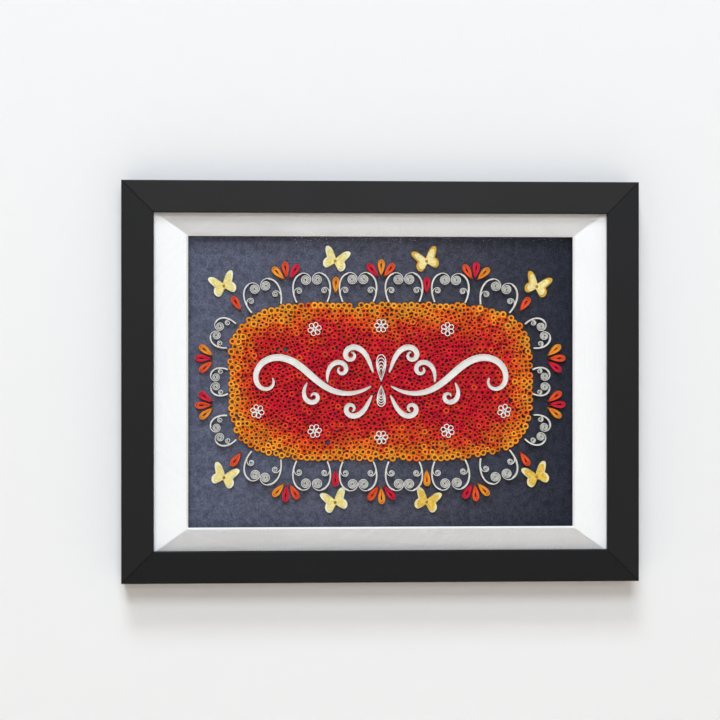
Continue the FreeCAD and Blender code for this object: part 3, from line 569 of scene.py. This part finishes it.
# seeded points on a scattered grid that push apart until the rings just touch; some rings stray a
# little over the outline, so the rim is ragged
def packRings(random):
    pitch, margin = rings["pitch"], rings["gridMargin"]
    up = np.arange(-bed["halfHeight"] - margin, bed["halfHeight"] + margin, pitch * math.sqrt(3) / 2)
    across = np.arange(-bed["halfLength"] - margin, bed["halfLength"] + margin, pitch)
    shift = pitch / 2 * (np.arange(len(up)) % 2)
    grid = np.stack(np.broadcast_arrays(across + shift[:, None], up[:, None]), -1).reshape(-1, 2)
    points = grid + random.normal(0, rings["scatter"], grid.shape)
    depth = depthInBed(points)[0]
    inside = depth > rings["edgeRoom"]
    points = points[inside]
    rim = depth[inside] < rings["rimDepth"]
    radii = random.uniform(rings["smallest"], rings["largest"], len(points)) + rings["rimExtra"] * rim
    stray = random.uniform(*rings["stray"], len(points))
    for step in range(rings["relaxSteps"]):
        if step % rings["searchEvery"] == 0:
            near = nearestPoints(points, rings["neighbours"])
        gap = points[:, None] - points[near]
        distance = np.sqrt((gap ** 2).sum(-1)) + 1e-6
        overlap = np.clip(radii[:, None] + radii[near] - distance, 0, None)
        points = points + (gap / distance[..., None] * overlap[..., None]).sum(1) * rings["push"]
        if step % rings["pullEvery"] == 0:
            depth, normal = depthInBed(points)
            out = np.clip(radii - stray - depth, 0, None)
            points = points - normal * out[:, None] * rings["pull"]
    near = nearestPoints(points, rings["neighbours"])
    distance = np.sqrt(((points[:, None] - points[near]) ** 2).sum(-1))
    closeness = (distance - radii[near]).min(1)
    grown = np.minimum(radii * rings["growth"], closeness + rings["squeeze"])
    return points, np.clip(grown, *rings["radiusRange"])


# every ring at once: a section of six points (floor middle, floor edge, inner edge, crown, outer edge,
# outer foot) turned about each ring's own axis, which leans a little. The floor is the strip's inner end in
# the hole, and the foot spreads a little so that the gaps between rings close; both are coloured dark as
# painted shade
def ringParts(points, radii, random):
    count, segments = len(points), rings["segments"]
    walls = radii * rings["wallShare"] * random.uniform(*rings["wallSpread"], count)
    heights = rings["height"] - random.uniform(0, rings["heightSpread"], count)
    hole = radii - walls
    floor = np.full(count, rings["floorLift"])
    crown = radii - walls / 2
    floorMiddle, floorEdge = hole * rings["floorHole"], hole * rings["floorShare"]
    radial = np.stack([floorMiddle, floorEdge, hole, crown, radii, radii * rings["footFlare"]], -1)
    inner, outer = heights - rings["innerDrop"], heights - rings["outerDrop"]
    lifts = np.stack([floor, floor, inner, heights, outer, 0 * heights], -1)
    angles = 2 * np.pi * np.arange(segments) / segments + random.uniform(0, 1, count)[:, None]
    across = radial[:, None] * np.cos(angles)[..., None]
    up = radial[:, None] * np.sin(angles)[..., None]
    lean = np.radians(random.normal(0, rings["tilt"] / 2, (count, 2)))[:, None, None]
    lift = np.broadcast_to(lifts[:, None], across.shape)
    lift = lift - (across * lean[..., 0] + up * lean[..., 1]) * (lift > rings["leanFrom"])
    vertices = np.stack([across + points[:, 0, None, None], up + points[:, 1, None, None], lift], -1)
    corners = radial.shape[-1]
    i, j = np.meshgrid(np.arange(segments), np.arange(corners), indexing="ij")
    nextI, nextJ = (i + 1) % segments * corners, (j + 1) % corners
    i = i * corners
    quads = np.stack([i + j, nextI + j, nextI + nextJ, i + nextJ], -1).reshape(-1, 4)
    faces = (quads + np.arange(count)[:, None, None] * segments * corners).reshape(-1, 4)[:, ::-1]
    return vertices.reshape(-1, 3), faces.tolist()


# dye from 0, crimson, to 1, yellow orange: by depth in the bed, which slow waves bend, and by chance
def ringDyes(points, depth, random):
    cross, slant = rings["crossWave"], rings["slantWave"]
    across, up = (points / cross["lengths"] + cross["shifts"]).T
    waves = cross["height"] * np.sin(across) * np.cos(up)
    waves += slant["height"] * np.sin((points / slant["lengths"]).sum(1))
    base = np.interp(depth + waves, rings["dyeDepths"], rings["dyes"])
    return np.clip(base + random.normal(0, rings["dyeChance"], len(points)), 0, 1)


# packs the rings, and makes one piece of them for each of the bed's three plates
def makeRings():
    random = np.random.default_rng(11)
    points, radii = packRings(random)
    depth = depthInBed(points)[0]
    dyes = ringDyes(points, depth, random)
    zones = np.digitize(depth, [rings["rimWidth"], rings["rimWidth"] + rings["middleWidth"]])
    slots = {"Rim": "orange_paper", "Middle": "red_orange_paper", "Centre": "crimson_paper"}
    segments, foot = rings["segments"], rings["footPaintedShade"]
    # painted shade: the floor and foot points take the dark tone; the hole's edge, crown and outer edge keep
    # 1
    shadeTones, walls = [foot, foot, 1.0, 1.0, 1.0, foot], [0.0, 0.0, 0.0, 0.5, 1.0, 1.0]
    for zone, (name, slotName) in enumerate(slots.items()):
        chosen = zones == zone
        part = ringParts(points[chosen], radii[chosen], random)
        batches = random.uniform(*rings["batches"], chosen.sum())
        attributes = {
            "dye": np.repeat(dyes[chosen], segments * len(shadeTones)),
            "batchAndShade": np.outer(batches, np.tile(shadeTones, segments)).ravel(),
            "wall": np.tile(walls, chosen.sum() * segments),
        }
        makePiece(f"ringCoils{name}", [part], ringPaper, [f"coil_bed_{name.lower()}"], attributes)
    print("ring coils:", len(points))


makeRings()


# scrolls round the bed
scrolls = {
    "tall": 24.0,
    "short": 15.5,
    "heightPower": 1.5,
    "coilRadius": 4.2,
    "sideCoilRadius": 2.6,
    "smallestCoilShare": 0.4,
    "footHeading": 115.5,
    "stemTurn": 205.0,
    "stemLength": 1.65,
    "rootBend": 0.25,
    "knee": 0.42,
    "coilBendShare": 0.85,
    "branchShare": 1 / 7,
    "branchLength": 0.5,
    "branchTurn": 150.0,
    "branchRoot": 0.4,
    "stemRoot": 1.6,
    "stemEnd": 0.8,
    "coilGap": 1.2,
    "outset": 1.3,
    "paper": 0.52,
    "layerStep": 0.64,
    "depth": 5.0,
    "coilPitch": 1.12,
    "hole": 0.75,
    "looseness": 1.15,
    "lean": 1.5,
    "middleLower": 0.12,
    "sideLower": 0.25,
    "heightSpread": 0.15,
    "stemSamples": 33,
    "middleSamples": 24,
    "forkSamples": 5,
    "armSamples": 15,
    "coilSegments": 18,
    "sideCoilSegments": 14,
}


# centre line whose bend (degrees a millimetre) runs evenly between (share, bend) pairs: headings are
# the running sum of the bend, places the running sum of the heading's sine and cosine
def walk(start, heading, length, bends, shares, samples=480):
    middles = (np.arange(samples) + 0.5) / samples
    bend = np.interp(middles, *np.transpose(bends))
    step = length / samples
    turn = np.radians(heading) + np.concatenate([[0], np.cumsum(np.radians(bend))]) * step
    half = (turn[1:] + turn[:-1]) / 2
    across = start[0] + np.concatenate([[0], np.cumsum(np.cos(half))]) * step
    up = start[1] + np.concatenate([[0], np.cumsum(np.sin(half))]) * step
    grid = np.linspace(0, 1, samples + 1)
    return tuple(np.interp(shares, grid, values) for values in (across, up, turn))


# path moved to its left by offsets
def shiftPath(path, offset):
    across, up, heading = path
    return across - np.sin(heading) * offset, up + np.cos(heading) * offset, heading


# stem and then a clockwise spiral about a middle to its right: its radius shrinks from the coil's to
# the hole's by a power, so the outer turns lie looser
def stemAndCoil(stem, radius, segments):
    across, up, turn = (values[-1] for values in stem)
    middle = (across + math.sin(turn) * radius, up - math.cos(turn) * radius)
    turns = (radius - scrolls["hole"]) / scrolls["coilPitch"]
    share = np.arange(1, int(turns * segments) + 1) / int(turns * segments)
    spoke = turn + np.pi / 2 - 2 * np.pi * turns * share
    reach = scrolls["hole"] + (radius - scrolls["hole"]) * (1 - share) ** scrolls["looseness"]
    coil = (middle[0] + reach * np.cos(spoke), middle[1] + reach * np.sin(spoke), spoke - np.pi / 2)
    return tuple(np.concatenate(both) for both in zip(stem, coil)), middle


# height of a scroll: short where the outline faces sideways, and taller by a power of the heading's sine
def scrollHeight(heading):
    swing = abs(math.sin(heading)) ** scrolls["heightPower"]
    return scrolls["short"] + (scrolls["tall"] - scrolls["short"]) * swing


# one scroll, foot at 0, 0: three glued strips. The outer one arches over and winds into the main coil,
# the middle one ends on the way, and the inner one branches off early into the side coil
def scrollParts(height, random):
    coilShare = scrolls["smallestCoilShare"] + (1 - scrolls["smallestCoilShare"]) * height / scrolls["tall"]
    coil = scrolls["coilRadius"] * coilShare
    stem = scrolls["stemLength"] * height
    coilBend = math.degrees(1 / coil) * scrolls["coilBendShare"]
    rootBend = scrolls["rootBend"] * scrolls["stemTurn"] / stem
    knee = scrolls["knee"]
    kneeBend = 2 * scrolls["stemTurn"] / stem - coilBend * (1 - knee) - rootBend * knee
    bends = ((0, -rootBend), (knee, -kneeBend), (1, -coilBend))
    paper, step, top = scrolls["paper"], scrolls["layerStep"], scrolls["depth"]
    shares = np.linspace(0, 1, scrolls["stemSamples"])
    centre = walk((0, 0), scrolls["footHeading"], stem, bends, shares)
    widths = scrolls["stemRoot"] + (scrolls["stemEnd"] - scrolls["stemRoot"]) * shares
    outer = shiftPath(centre, (widths - paper) / 2)
    mainRadius = coil + (scrolls["stemEnd"] - paper) / 2
    mainPath, middle = stemAndCoil(outer, mainRadius, scrolls["coilSegments"])
    spread = middle[0] + coil + scrolls["stemEnd"] / 2 + scrolls["coilGap"] / 2
    middlePath = tuple(values[:scrolls["middleSamples"]] for values in shiftPath(outer, -step))
    forkShares = np.linspace(0, scrolls["branchShare"], scrolls["forkSamples"])
    fork = walk((0, 0), scrolls["footHeading"], stem, bends, forkShares)
    forkPlace = tuple(values[-1] for values in fork)
    branch = scrolls["branchLength"] * height
    branchRoot = scrolls["branchRoot"] * scrolls["branchTurn"] / branch
    branchCoil = 2 * scrolls["branchTurn"] / branch - branchRoot
    branchBends = ((0, -branchRoot), (1, -branchCoil))
    armShares = np.linspace(0, 1, scrolls["armSamples"])[1:]
    arm = walk(forkPlace[:2], math.degrees(forkPlace[2]), branch, branchBends, armShares)
    inside = (scrolls["stemRoot"] - paper) / 2 - step
    sideStem = shiftPath(tuple(np.concatenate(both) for both in zip(fork, arm)), inside)
    sideRadius = scrolls["sideCoilRadius"] * coilShare + inside
    sidePath = stemAndCoil(sideStem, sideRadius, scrolls["sideCoilSegments"])[0]
    lowered = ((mainPath, 0.0), (middlePath, scrolls["middleLower"]), (sidePath, scrolls["sideLower"]))
    parts = []
    for (across, up, heading), lower in lowered:
        edge = top - lower - random.uniform(0, scrolls["heightSpread"])
        parts.append(strip((across - spread, up, heading), -paper / 2, paper / 2, 0, edge))
    return parts


# a facing pair at each place of the row, in one piece for each side of the bed
def makeScrolls():
    random = np.random.default_rng(5)
    names = ("Right", "Top", "Left", "Bottom")
    groups = {name: [] for name in names}
    for across, up, heading in zip(*bedRow(scrolls["outset"], bed["pairs"])):
        quarter = round(math.remainder(heading, 2 * math.pi) / (math.pi / 2)) % 4
        height = scrollHeight(heading)
        for flip in (-1, 1):
            lean = math.radians(random.uniform(-1, 1) * scrolls["lean"])
            parts = moveParts(scrollParts(height, random), across, up, heading + lean, flip)
            groups[names[quarter]] += parts
    for name, parts in groups.items():
        replaced = [f"scrolls_{name.lower()}"]
        makePiece(f"scrolls{name}", parts, silverPearlPaper, replaced)
    print("scrolls:", 2 * bed["pairs"])


makeScrolls()


# teardrops in the gaps between the scrolls
drops = {
    "length": 14.5,
    "width": 6.0,
    "sharpness": 1.2,
    "fanAngle": 38.0,
    "fanRadius": 4.0,
    "footGap": 0.5,
    "depth": 5.0,
    "rimPaper": 0.85,
    "paper": 0.46,
    "loops": 4,
    "narrower": 0.95,
    "shorter": 2.05,
    "tipStep": 1.45,
    "sink": 0.3,
    "slack": 0.06,
    "heightSpread": 0.2,
    "turnSpread": 3.0,
    "corners": 26,
}


# closed outline, tip at 0, 0: across is the sine of t times the sine of half t to a power, up is one
# less the cosine of t
def dropOutline(length, width, corners, sharpness):
    turn = 2 * np.pi * (np.arange(corners) + 0.5) / corners
    fullness = np.sin(turn) * np.abs(np.sin(turn / 2)) ** sharpness
    return fullness * width / 2 / fullness.max(), length / 2 * (1 - np.cos(turn))


# a thick rim with nested loops that lie close in it, each narrower and shorter than the last, so that a
# slit is left in the middle
def dropParts(random):
    parts = []
    for k in range(drops["loops"]):
        inside = 2 * (drops["rimPaper"] - drops["paper"]) if k else 0
        length = drops["length"] - inside - drops["shorter"] * k
        width = drops["width"] - inside - drops["narrower"] * k
        across, up = dropOutline(length, width, drops["corners"], drops["sharpness"])
        slack = random.uniform(-drops["slack"], drops["slack"]) * k
        path = closedPath(across + slack, up + drops["tipStep"] * k)
        top = drops["depth"] - drops["sink"] * (k > 0) - random.uniform(0, drops["heightSpread"])
        parts.append(strip(path, 0, drops["paper"] if k else drops["rimPaper"], 0, top, closed=True))
    return parts


# butterflies stand outside every second gap between pairs, counted anew in each half of the bed
def hasButterfly(gap):
    return gap % (bed["pairs"] // 2) % 2 == 1


# one low teardrop under a butterfly, and a fan of three in each other gap, with the colours in turn
def makeDrops():
    random = np.random.default_rng(8)
    colours = list(dropPapers)
    groups = {colour: [] for colour in colours}
    fan = math.radians(drops["fanAngle"])
    low = drops["footGap"] + drops["fanRadius"]
    for gap, (across, up, heading) in enumerate(zip(*bedRow(0, bed["pairs"], 0.5))):
        leans = (0,) if hasButterfly(gap) else (-fan, 0, fan)
        start = low if hasButterfly(gap) else scrollHeight(heading) - drops["fanRadius"]
        for k, lean in enumerate(leans):
            tipHeading = heading + lean
            tipAcross = across + start * math.cos(heading) + drops["fanRadius"] * math.cos(tipHeading)
            tipUp = up + start * math.sin(heading) + drops["fanRadius"] * math.sin(tipHeading)
            jitter = math.radians(random.uniform(-drops["turnSpread"], drops["turnSpread"]))
            parts = moveParts(dropParts(random), tipAcross, tipUp, tipHeading + jitter)
            groups[colours[(gap + k) % len(colours)]] += parts
    for colour, parts in groups.items():
        name = "drops" + colour.title().replace("_", "")
        makePiece(name, parts, dropPapers[colour], [f"drops_{colour}"])
    print("teardrops done")


makeDrops()


# white blossoms on the bed
blossoms = {
    "radius": 6.2,
    "height": 1.6,
    "petals": 6,
    "petalWidth": 4.3,
    "petalInner": 1.2,
    "paper": 0.62,
    "sharpness": 0.5,
    "heightSpread": 0.2,
    "petalCorners": 18,
    "eyeRadius": 1.3,
    "eyePaper": 0.55,
    "eyeLower": 0.1,
    "eyeCorners": 12,
    "places": ((0, 0.68), (0, -0.68), (0.42, 0.64), (-0.42, 0.64), (0.42, -0.6), (-0.42, -0.6),
               (0.78, -0.36), (-0.78, -0.36)),
}
# crowns of the rings, and the level just under them from which the pieces on the bed rise
bedTop = rings["height"]
bedSeat = bedTop - 0.1


# six teardrop loops round a small ring
def makeBlossoms():
    random = np.random.default_rng(3)
    high = bedTop + blossoms["height"]
    paper, inner = blossoms["paper"], blossoms["petalInner"]
    parts = []
    for acrossShare, upShare in blossoms["places"]:
        flower = []
        for k in range(blossoms["petals"]):
            turn = 2 * math.pi * k / blossoms["petals"]
            outline = dropOutline(
                blossoms["radius"] - inner,
                blossoms["petalWidth"],
                blossoms["petalCorners"],
                blossoms["sharpness"],
            )
            top = high - random.uniform(0, blossoms["heightSpread"])
            petal = [strip(closedPath(*outline), 0, paper, bedSeat, top, closed=True)]
            flower += moveParts(petal, inner * math.cos(turn), inner * math.sin(turn), turn)
        around = 2 * np.pi * np.arange(blossoms["eyeCorners"]) / blossoms["eyeCorners"]
        eye = closedPath(blossoms["eyeRadius"] * np.cos(around), blossoms["eyeRadius"] * np.sin(around))
        flower.append(strip(eye, 0, blossoms["eyePaper"], bedSeat, high - blossoms["eyeLower"], closed=True))
        across = acrossShare * bed["halfLength"]
        up = upShare * bed["halfHeight"]
        parts += moveParts(flower, across, up, random.uniform(0, 1))
    makePiece("blossomLoops", parts, whitePearlPaper, ["blossoms"])
    print("blossoms:", len(blossoms["places"]))


makeBlossoms()


# flourish of strips across the middle of the bed
flourish = {
    "width": 6.0,
    "height": 2.0,
    "tipShare": 0.2,
    "fullness": 0.7,
    "strips": 5,
    "rimShare": 0.22,
    "lower": 0.75,
    "groove": 0.7,
    "margin": 0.18,
    "samples": 64,
    "crowding": 1.3,
    "strokes": (
        ((9, -4), -34, 150, ((0, 1.5), (0.22, 1.7), (0.4, 0), (0.58, -2.2), (0.8, -3.8), (1, -11)), 1.0),
        ((7, 8), 68, 58, ((0, 1), (0.3, -2.5), (0.6, -8), (1, -20)), 0.8),
        ((8, -12), -62, 50, ((0, -1), (0.3, 2.5), (0.6, 9), (1, 22)), 0.76),
        ((47, -0.5), 84, 46, ((0, 1), (0.3, 5), (0.6, 9), (1, 22)), 0.7),
        ((65, -1), -62, 38, ((0, -1), (0.3, -6), (0.6, -10), (1, -24)), 0.68),
    ),
    "petals": ((0, 0, 90, 24, 9), (0, -3, -90, 19, 8)),
    "petalLoops": 5,
    "petalShrink": 0.15,
    "petalStep": 0.6,
    "petalPaper": 0.72,
    "petalLower": 0.25,
    "petalCorners": 30,
    "petalSharpness": 1.2,
}


# section of strips laid side by side, from 1 (left) to -1 (right) across the stroke: a higher strip
# at each side and lower ones between, with a groove after each
def stripSection():
    count = flourish["strips"]
    high = bedTop + flourish["height"]
    inner = (2 - 2 * flourish["rimShare"]) / (count - 2)
    edges = np.concatenate([[-1], -1 + flourish["rimShare"] + inner * np.arange(count - 1), [1]])
    offsets, lifts = [-1.0, 1.0], [bedSeat, bedSeat]
    for k in range(count)[::-1]:
        top = high if k in (0, count - 1) else high - flourish["lower"]
        margin = flourish["margin"] * (edges[k + 1] - edges[k])
        offsets += [edges[k + 1] - margin * (k < count - 1), edges[k] + margin * (k > 0)]
        lifts += [top, top]
        if k > 0:
            offsets.append(edges[k])
            lifts.append(high - flourish["lower"] - flourish["groove"])
    return np.array(offsets), np.array(lifts)


# strokes that swell in the middle, each with its mirror image, their samples crowded at the far tip, and
# petals of nested loops. A stroke is its start, heading, length, bends along it and share of the width
def makeFlourish():
    offsets, lifts = stripSection()
    parts = []
    for start, heading, length, bends, share in flourish["strokes"]:
        shares = 1 - (1 - np.linspace(0, 1, flourish["samples"])) ** flourish["crowding"]
        path = walk(start, heading, length, bends, shares)
        swelling = np.abs(np.sin(np.pi * shares)) ** flourish["fullness"]
        tip = flourish["tipShare"]
        widths = flourish["width"] * share * (tip + (1 - tip) * swelling)
        stroke = sweep(path, widths[:, None] / 2 * offsets, lifts)
        parts += [stroke, mirrored(stroke)]
    high, corners = bedTop + flourish["height"], flourish["petalCorners"]
    for across, up, heading, length, width in flourish["petals"]:
        petal = []
        for k in range(flourish["petalLoops"]):
            share = 1 - flourish["petalShrink"] * k
            outline = dropOutline(length * share, width * share, corners, flourish["petalSharpness"])
            loopAcross, loopUp, loopHeading = closedPath(*outline)
            path = (loopAcross, loopUp + flourish["petalStep"] * k, loopHeading)
            top = high - (flourish["petalLower"] if k else 0)
            petal.append(strip(path, 0, flourish["petalPaper"], bedSeat, top, closed=True))
        parts += moveParts(petal, across, up, math.radians(heading))
    makePiece("flourishStrips", parts, whitePearlPaper, ["flourish"], sharpAngle=30)
    print("flourish done")


makeFlourish()


# butterflies outside the scrolls
butterflies = {
    "reach": 14.0,
    "wingReach": 15.4,
    "outline": ((70, 0.34), (60, 0.72), (52, 0.93), (43, 1.0), (36, 0.9), (27, 0.72), (17, 0.57), (8, 0.51),
                (-2, 0.6), (-18, 0.69), (-35, 0.72), (-49, 0.67), (-58, 0.52), (-66, 0.3)),
    "smoothWidth": 27,
    "smoothSamples": 400,
    "smoothMargin": 8,
    "angles": (72, -68),
    "tilt": 9.0,
    "veins": 15,
    "veinHeight": 0.12,
    "dish": -0.3,
    "paper": 0.4,
    "layers": ((1.0, 1.0, 0.0), (0.8, 1.8, 2.0)),
    "root": 2.4,
    "beadRadius": 1.35,
    "beadHeight": 3.2,
    "beadSegments": 14,
    "beadLevels": 6,
    "roomShare": 0.8,
    "gap": 2.0,
    "lean": 16.0,
    "rows": 9,
    "columns": 44,
}


# wing outline: shares of the reach between the given angles, smoothed by a sliding mean
def wingRadius(angles):
    angle, share = np.transpose(butterflies["outline"][::-1])
    margin, width = butterflies["smoothMargin"], butterflies["smoothWidth"]
    fine = np.linspace(angle[0] - margin, angle[-1] + margin, butterflies["smoothSamples"])
    window = np.hanning(width) / np.hanning(width).sum()
    padded = np.pad(np.interp(fine, angle, share), width // 2, mode="edge")
    smooth = np.convolve(padded, window, mode="valid")
    return butterflies["wingReach"] * np.interp(angles, fine, smooth)


# one wing of one layer as a grid of angle and share of the radius, rooted along the body: it rises with
# its distance from the body, dips along veins and turns up at its rim
def wingGrid(scale, seat, extraTilt):
    rows, columns = butterflies["rows"], butterflies["columns"]
    angles = np.linspace(*butterflies["angles"], columns)
    shares = np.linspace(0.0, 1, rows)
    turn = np.radians(angles)
    radius = wingRadius(angles)[:, None] * shares * scale
    across = radius * np.cos(turn)[:, None]
    up = (radius + butterflies["root"] * (1 - shares)) * np.sin(turn)[:, None]
    slope = math.tan(math.radians(butterflies["tilt"] + extraTilt))
    belly = np.sin(np.pi * shares)
    veins = butterflies["veinHeight"] * np.cos(turn * butterflies["veins"])[:, None] * belly
    lift = seat + across * slope + veins + butterflies["dish"] * belly
    points = np.stack([across, up, lift], -1).reshape(-1, 3)
    i, j = np.meshgrid(np.arange(columns - 1), np.arange(rows - 1), indexing="ij")
    corner = i * rows + j
    quads = np.stack([corner, corner + rows, corner + rows + 1, corner + 1], -1).reshape(-1, 4)
    return points, quads


# a shell: the grid, the same grid lowered by the paper's thickness, and a rim of quads between them
def shell(points, quads):
    count, rows, columns = len(points), butterflies["rows"], butterflies["columns"]
    lower = points - [0, 0, butterflies["paper"]]
    edge = np.concatenate([
        np.arange(rows),
        rows * np.arange(1, columns) + rows - 1,
        count - 2 - np.arange(rows - 1),
        (rows * np.arange(1, columns - 1))[::-1],
    ])
    nextEdge = np.roll(edge, -1)
    rim = np.stack([edge, nextEdge, nextEdge + count, edge + count], -1)
    faces = quads[:, ::-1].tolist() + (quads + count).tolist() + rim.tolist()
    return np.concatenate([points, lower]), faces


# bead: a half round profile turned about its axis, closed at the top and the foot
def beadPart():
    levels, segments = butterflies["beadLevels"], butterflies["beadSegments"]
    radius, height = butterflies["beadRadius"], butterflies["beadHeight"]
    tilt = np.linspace(0, np.pi / 2, levels)[:-1]
    profile = np.concatenate([[0], height / 2 + height / 2 * np.sin(tilt)])
    reach = np.concatenate([[radius], radius * np.cos(tilt)])
    turn = 2 * np.pi * np.arange(segments) / segments
    across, up = np.outer(reach, np.cos(turn)), np.outer(reach, np.sin(turn))
    points = np.stack([across, up, np.outer(profile, np.ones(segments))], -1)
    return points.reshape(-1, 3), tubeFaces(levels, segments)


# wings and bead of each butterfly, as far outside the outline as the scrolls there are tall and its own
# reach needs. The layer attribute is 1 on the upper, smaller wings
def makeButterflies():
    row = list(zip(*bedRow(0, bed["pairs"], 0.5)))
    gaps = [gap for gap in range(bed["pairs"]) if hasButterfly(gap)]
    for count, gap in enumerate(gaps, 1):
        across, up, heading = row[gap]
        outset = scrollHeight(heading) + butterflies["reach"] * butterflies["roomShare"] + butterflies["gap"]
        lean = math.radians(math.copysign(butterflies["lean"], across * up)) + (math.pi if up < 0 else 0)
        spot = (across + outset * math.cos(heading), up + outset * math.sin(heading))
        parts, layers = [], []
        for scale, seat, extraTilt in butterflies["layers"]:
            wing = shell(*wingGrid(scale, seat, extraTilt))
            parts += [wing, mirrored(wing)]
            layers.append(np.full(2 * len(wing[0]), float(scale < 1)))
        card, slotName = (goldEdgedCard if up > 0 else goldenCard), "golden_paper"
        if across < 0:
            card, slotName = paleYellowCard, "pale_yellow_paper"
        replaced, attributes = [f"butterfly_{count}"], {"layer": np.concatenate(layers)}
        wings = moveParts(parts, *spot, heading + lean)
        makePiece(f"butterflyWings{count}", wings, card, replaced, attributes, sharpAngle=50)
        bead = moveParts([beadPart()], *spot, heading + lean)
        makePiece(f"butterflyBead{count}", bead, beadGilt, replaced)
    print("butterflies:", len(gaps))


makeButterflies()


# wall and floor
stageLook = {
    "wall": "#ebeae9",
    "floor": "#dccfc0",
    "wallGap": 0.4,
    "floorDrop": 0.6,
    "size": 8.0,
    "openingInset": 8.0,
    "stipple": 6.0,
}


# matte wall paint, rolled: a faint stipple. Its back is see-through, so the frame shows from behind
def paintedWall(name, hexCode, seeThroughBack):
    material, tree, shader = newMaterial(name, {"Base Color": linear(hexCode), "Roughness": 0.9})
    place = addNode(tree, "TexCoord").outputs["Object"]
    addGrain(tree, shader, place, stageLook["stipple"], 0.15, 0.2, Detail=3.0)
    if seeThroughBack:
        back = addNode(tree, "NewGeometry").outputs["Backfacing"]
        clear = addNode(tree, "BsdfTransparent")
        both = addNode(tree, "MixShader", {0: back, 1: shader, 2: clear})
        setSockets(tree, tree.nodes["Material Output"], {"Surface": both})
    return material


# corners of a rectangle in anticlockwise order, as seen with the first axis to the right
def rectangle(left, right, low, high):
    return [(left, low), (right, low), (right, high), (left, high)]


# floor, and a wall with an opening that the frame hides, through which the lamp behind lights its back
def makeStage():
    size = stageLook["size"]
    wallY = frameHigh.y + stageLook["wallGap"] * mm
    floorZ = frameLow.z - stageLook["floorDrop"]
    inset = stageLook["openingInset"] * mm
    opening = rectangle(frameLow.x + inset, frameHigh.x - inset, frameLow.z + inset, frameHigh.z - inset)
    around = [(0, 1, 5, 4), (1, 2, 6, 5), (2, 3, 7, 6), (3, 0, 4, 7)]
    wall = [(x, wallY, z) for x, z in rectangle(-size, size, floorZ, size) + opening]
    floor = [(x, y, floorZ) for x, y in rectangle(-size, size, -size, size)]
    sheets = {"wallBackdrop": (wall, around, True), "floor": (floor, [(0, 1, 2, 3)], False)}
    for name, (corners, faces, seeThrough) in sheets.items():
        mesh = bpy.data.meshes.new(name)
        mesh.from_pydata(corners, [], faces)
        hexCode = stageLook["wall"] if seeThrough else stageLook["floor"]
        mesh.materials.append(paintedWall(name + "Paint", hexCode, seeThrough))
        sheet = addObject(name, mesh)


# light of the pale room, and the lamps, which all face one point
lights = {
    "worldColour": (1.3, 0.98, 0.74, 1.0),
    "worldStrength": 0.17,
    "lamps": {
        "softboxAbove": {"place": (-0.7, -3.3, 5.1), "size": (2.0, 1.5), "power": 155.0},
        "softboxFront": {"place": (-0.3, -5.4, 3.4), "size": (2.4, 1.6), "power": 146.0},
        "softboxLow": {"place": (0.8, -6.2, 1.3), "size": (1.6, 1.2), "power": 62.0},
        "softboxBehind": {"place": (0.9, 3.0, 1.7), "size": (1.2, 1.0), "power": 48.0},
    },
    "lampColour": (0.895, 1.0, 1.1),
    "aim": (0.0, 0.0, 0.17),
}


# the world's even light and one rectangular lamp for each row of the dictionary
def makeLights():
    world = bpy.data.worlds.new("paleRoom")
    world.use_nodes = True
    background = world.node_tree.nodes["Background"]
    background.inputs["Color"].default_value = lights["worldColour"]
    background.inputs["Strength"].default_value = lights["worldStrength"]
    bpy.context.scene.world = world
    for name, look in lights["lamps"].items():
        lamp = bpy.data.lights.new(name, "AREA")
        lamp.shape = "RECTANGLE"
        lamp.size, lamp.size_y = look["size"]
        lamp.energy = look["power"]
        lamp.color = lights["lampColour"]
        softbox = addObject(name, lamp)
        softbox.location = look["place"]
        softbox.rotation_mode = "QUATERNION"
        softbox.rotation_quaternion = (Vector(lights["aim"]) - softbox.location).to_track_quat("-Z", "Y")
        softbox.visible_camera = False


# the photo's view, as fitted to its frame: yaw and pitch in radians, lens and sensor in millimetres
camera = {
    "place": (-0.0992, -1.6111, 0.1946),
    "yaw": 0.0501,
    "pitch": -0.0004,
    "lens": 91.86,
    "sensor": 36,
}


def makeCamera():
    data = bpy.data.cameras.new("photoView")
    data.lens = camera["lens"]
    data.sensor_width = camera["sensor"]
    view = addObject("photoView", data)
    view.location = camera["place"]
    view.rotation_euler = (math.pi / 2 + camera["pitch"], 0, -camera["yaw"])
    bpy.context.scene.camera = view


makeStage()
makeLights()
makeCamera()
bpy.context.scene.view_settings.view_transform = "Standard"
print("stage, light and camera done")
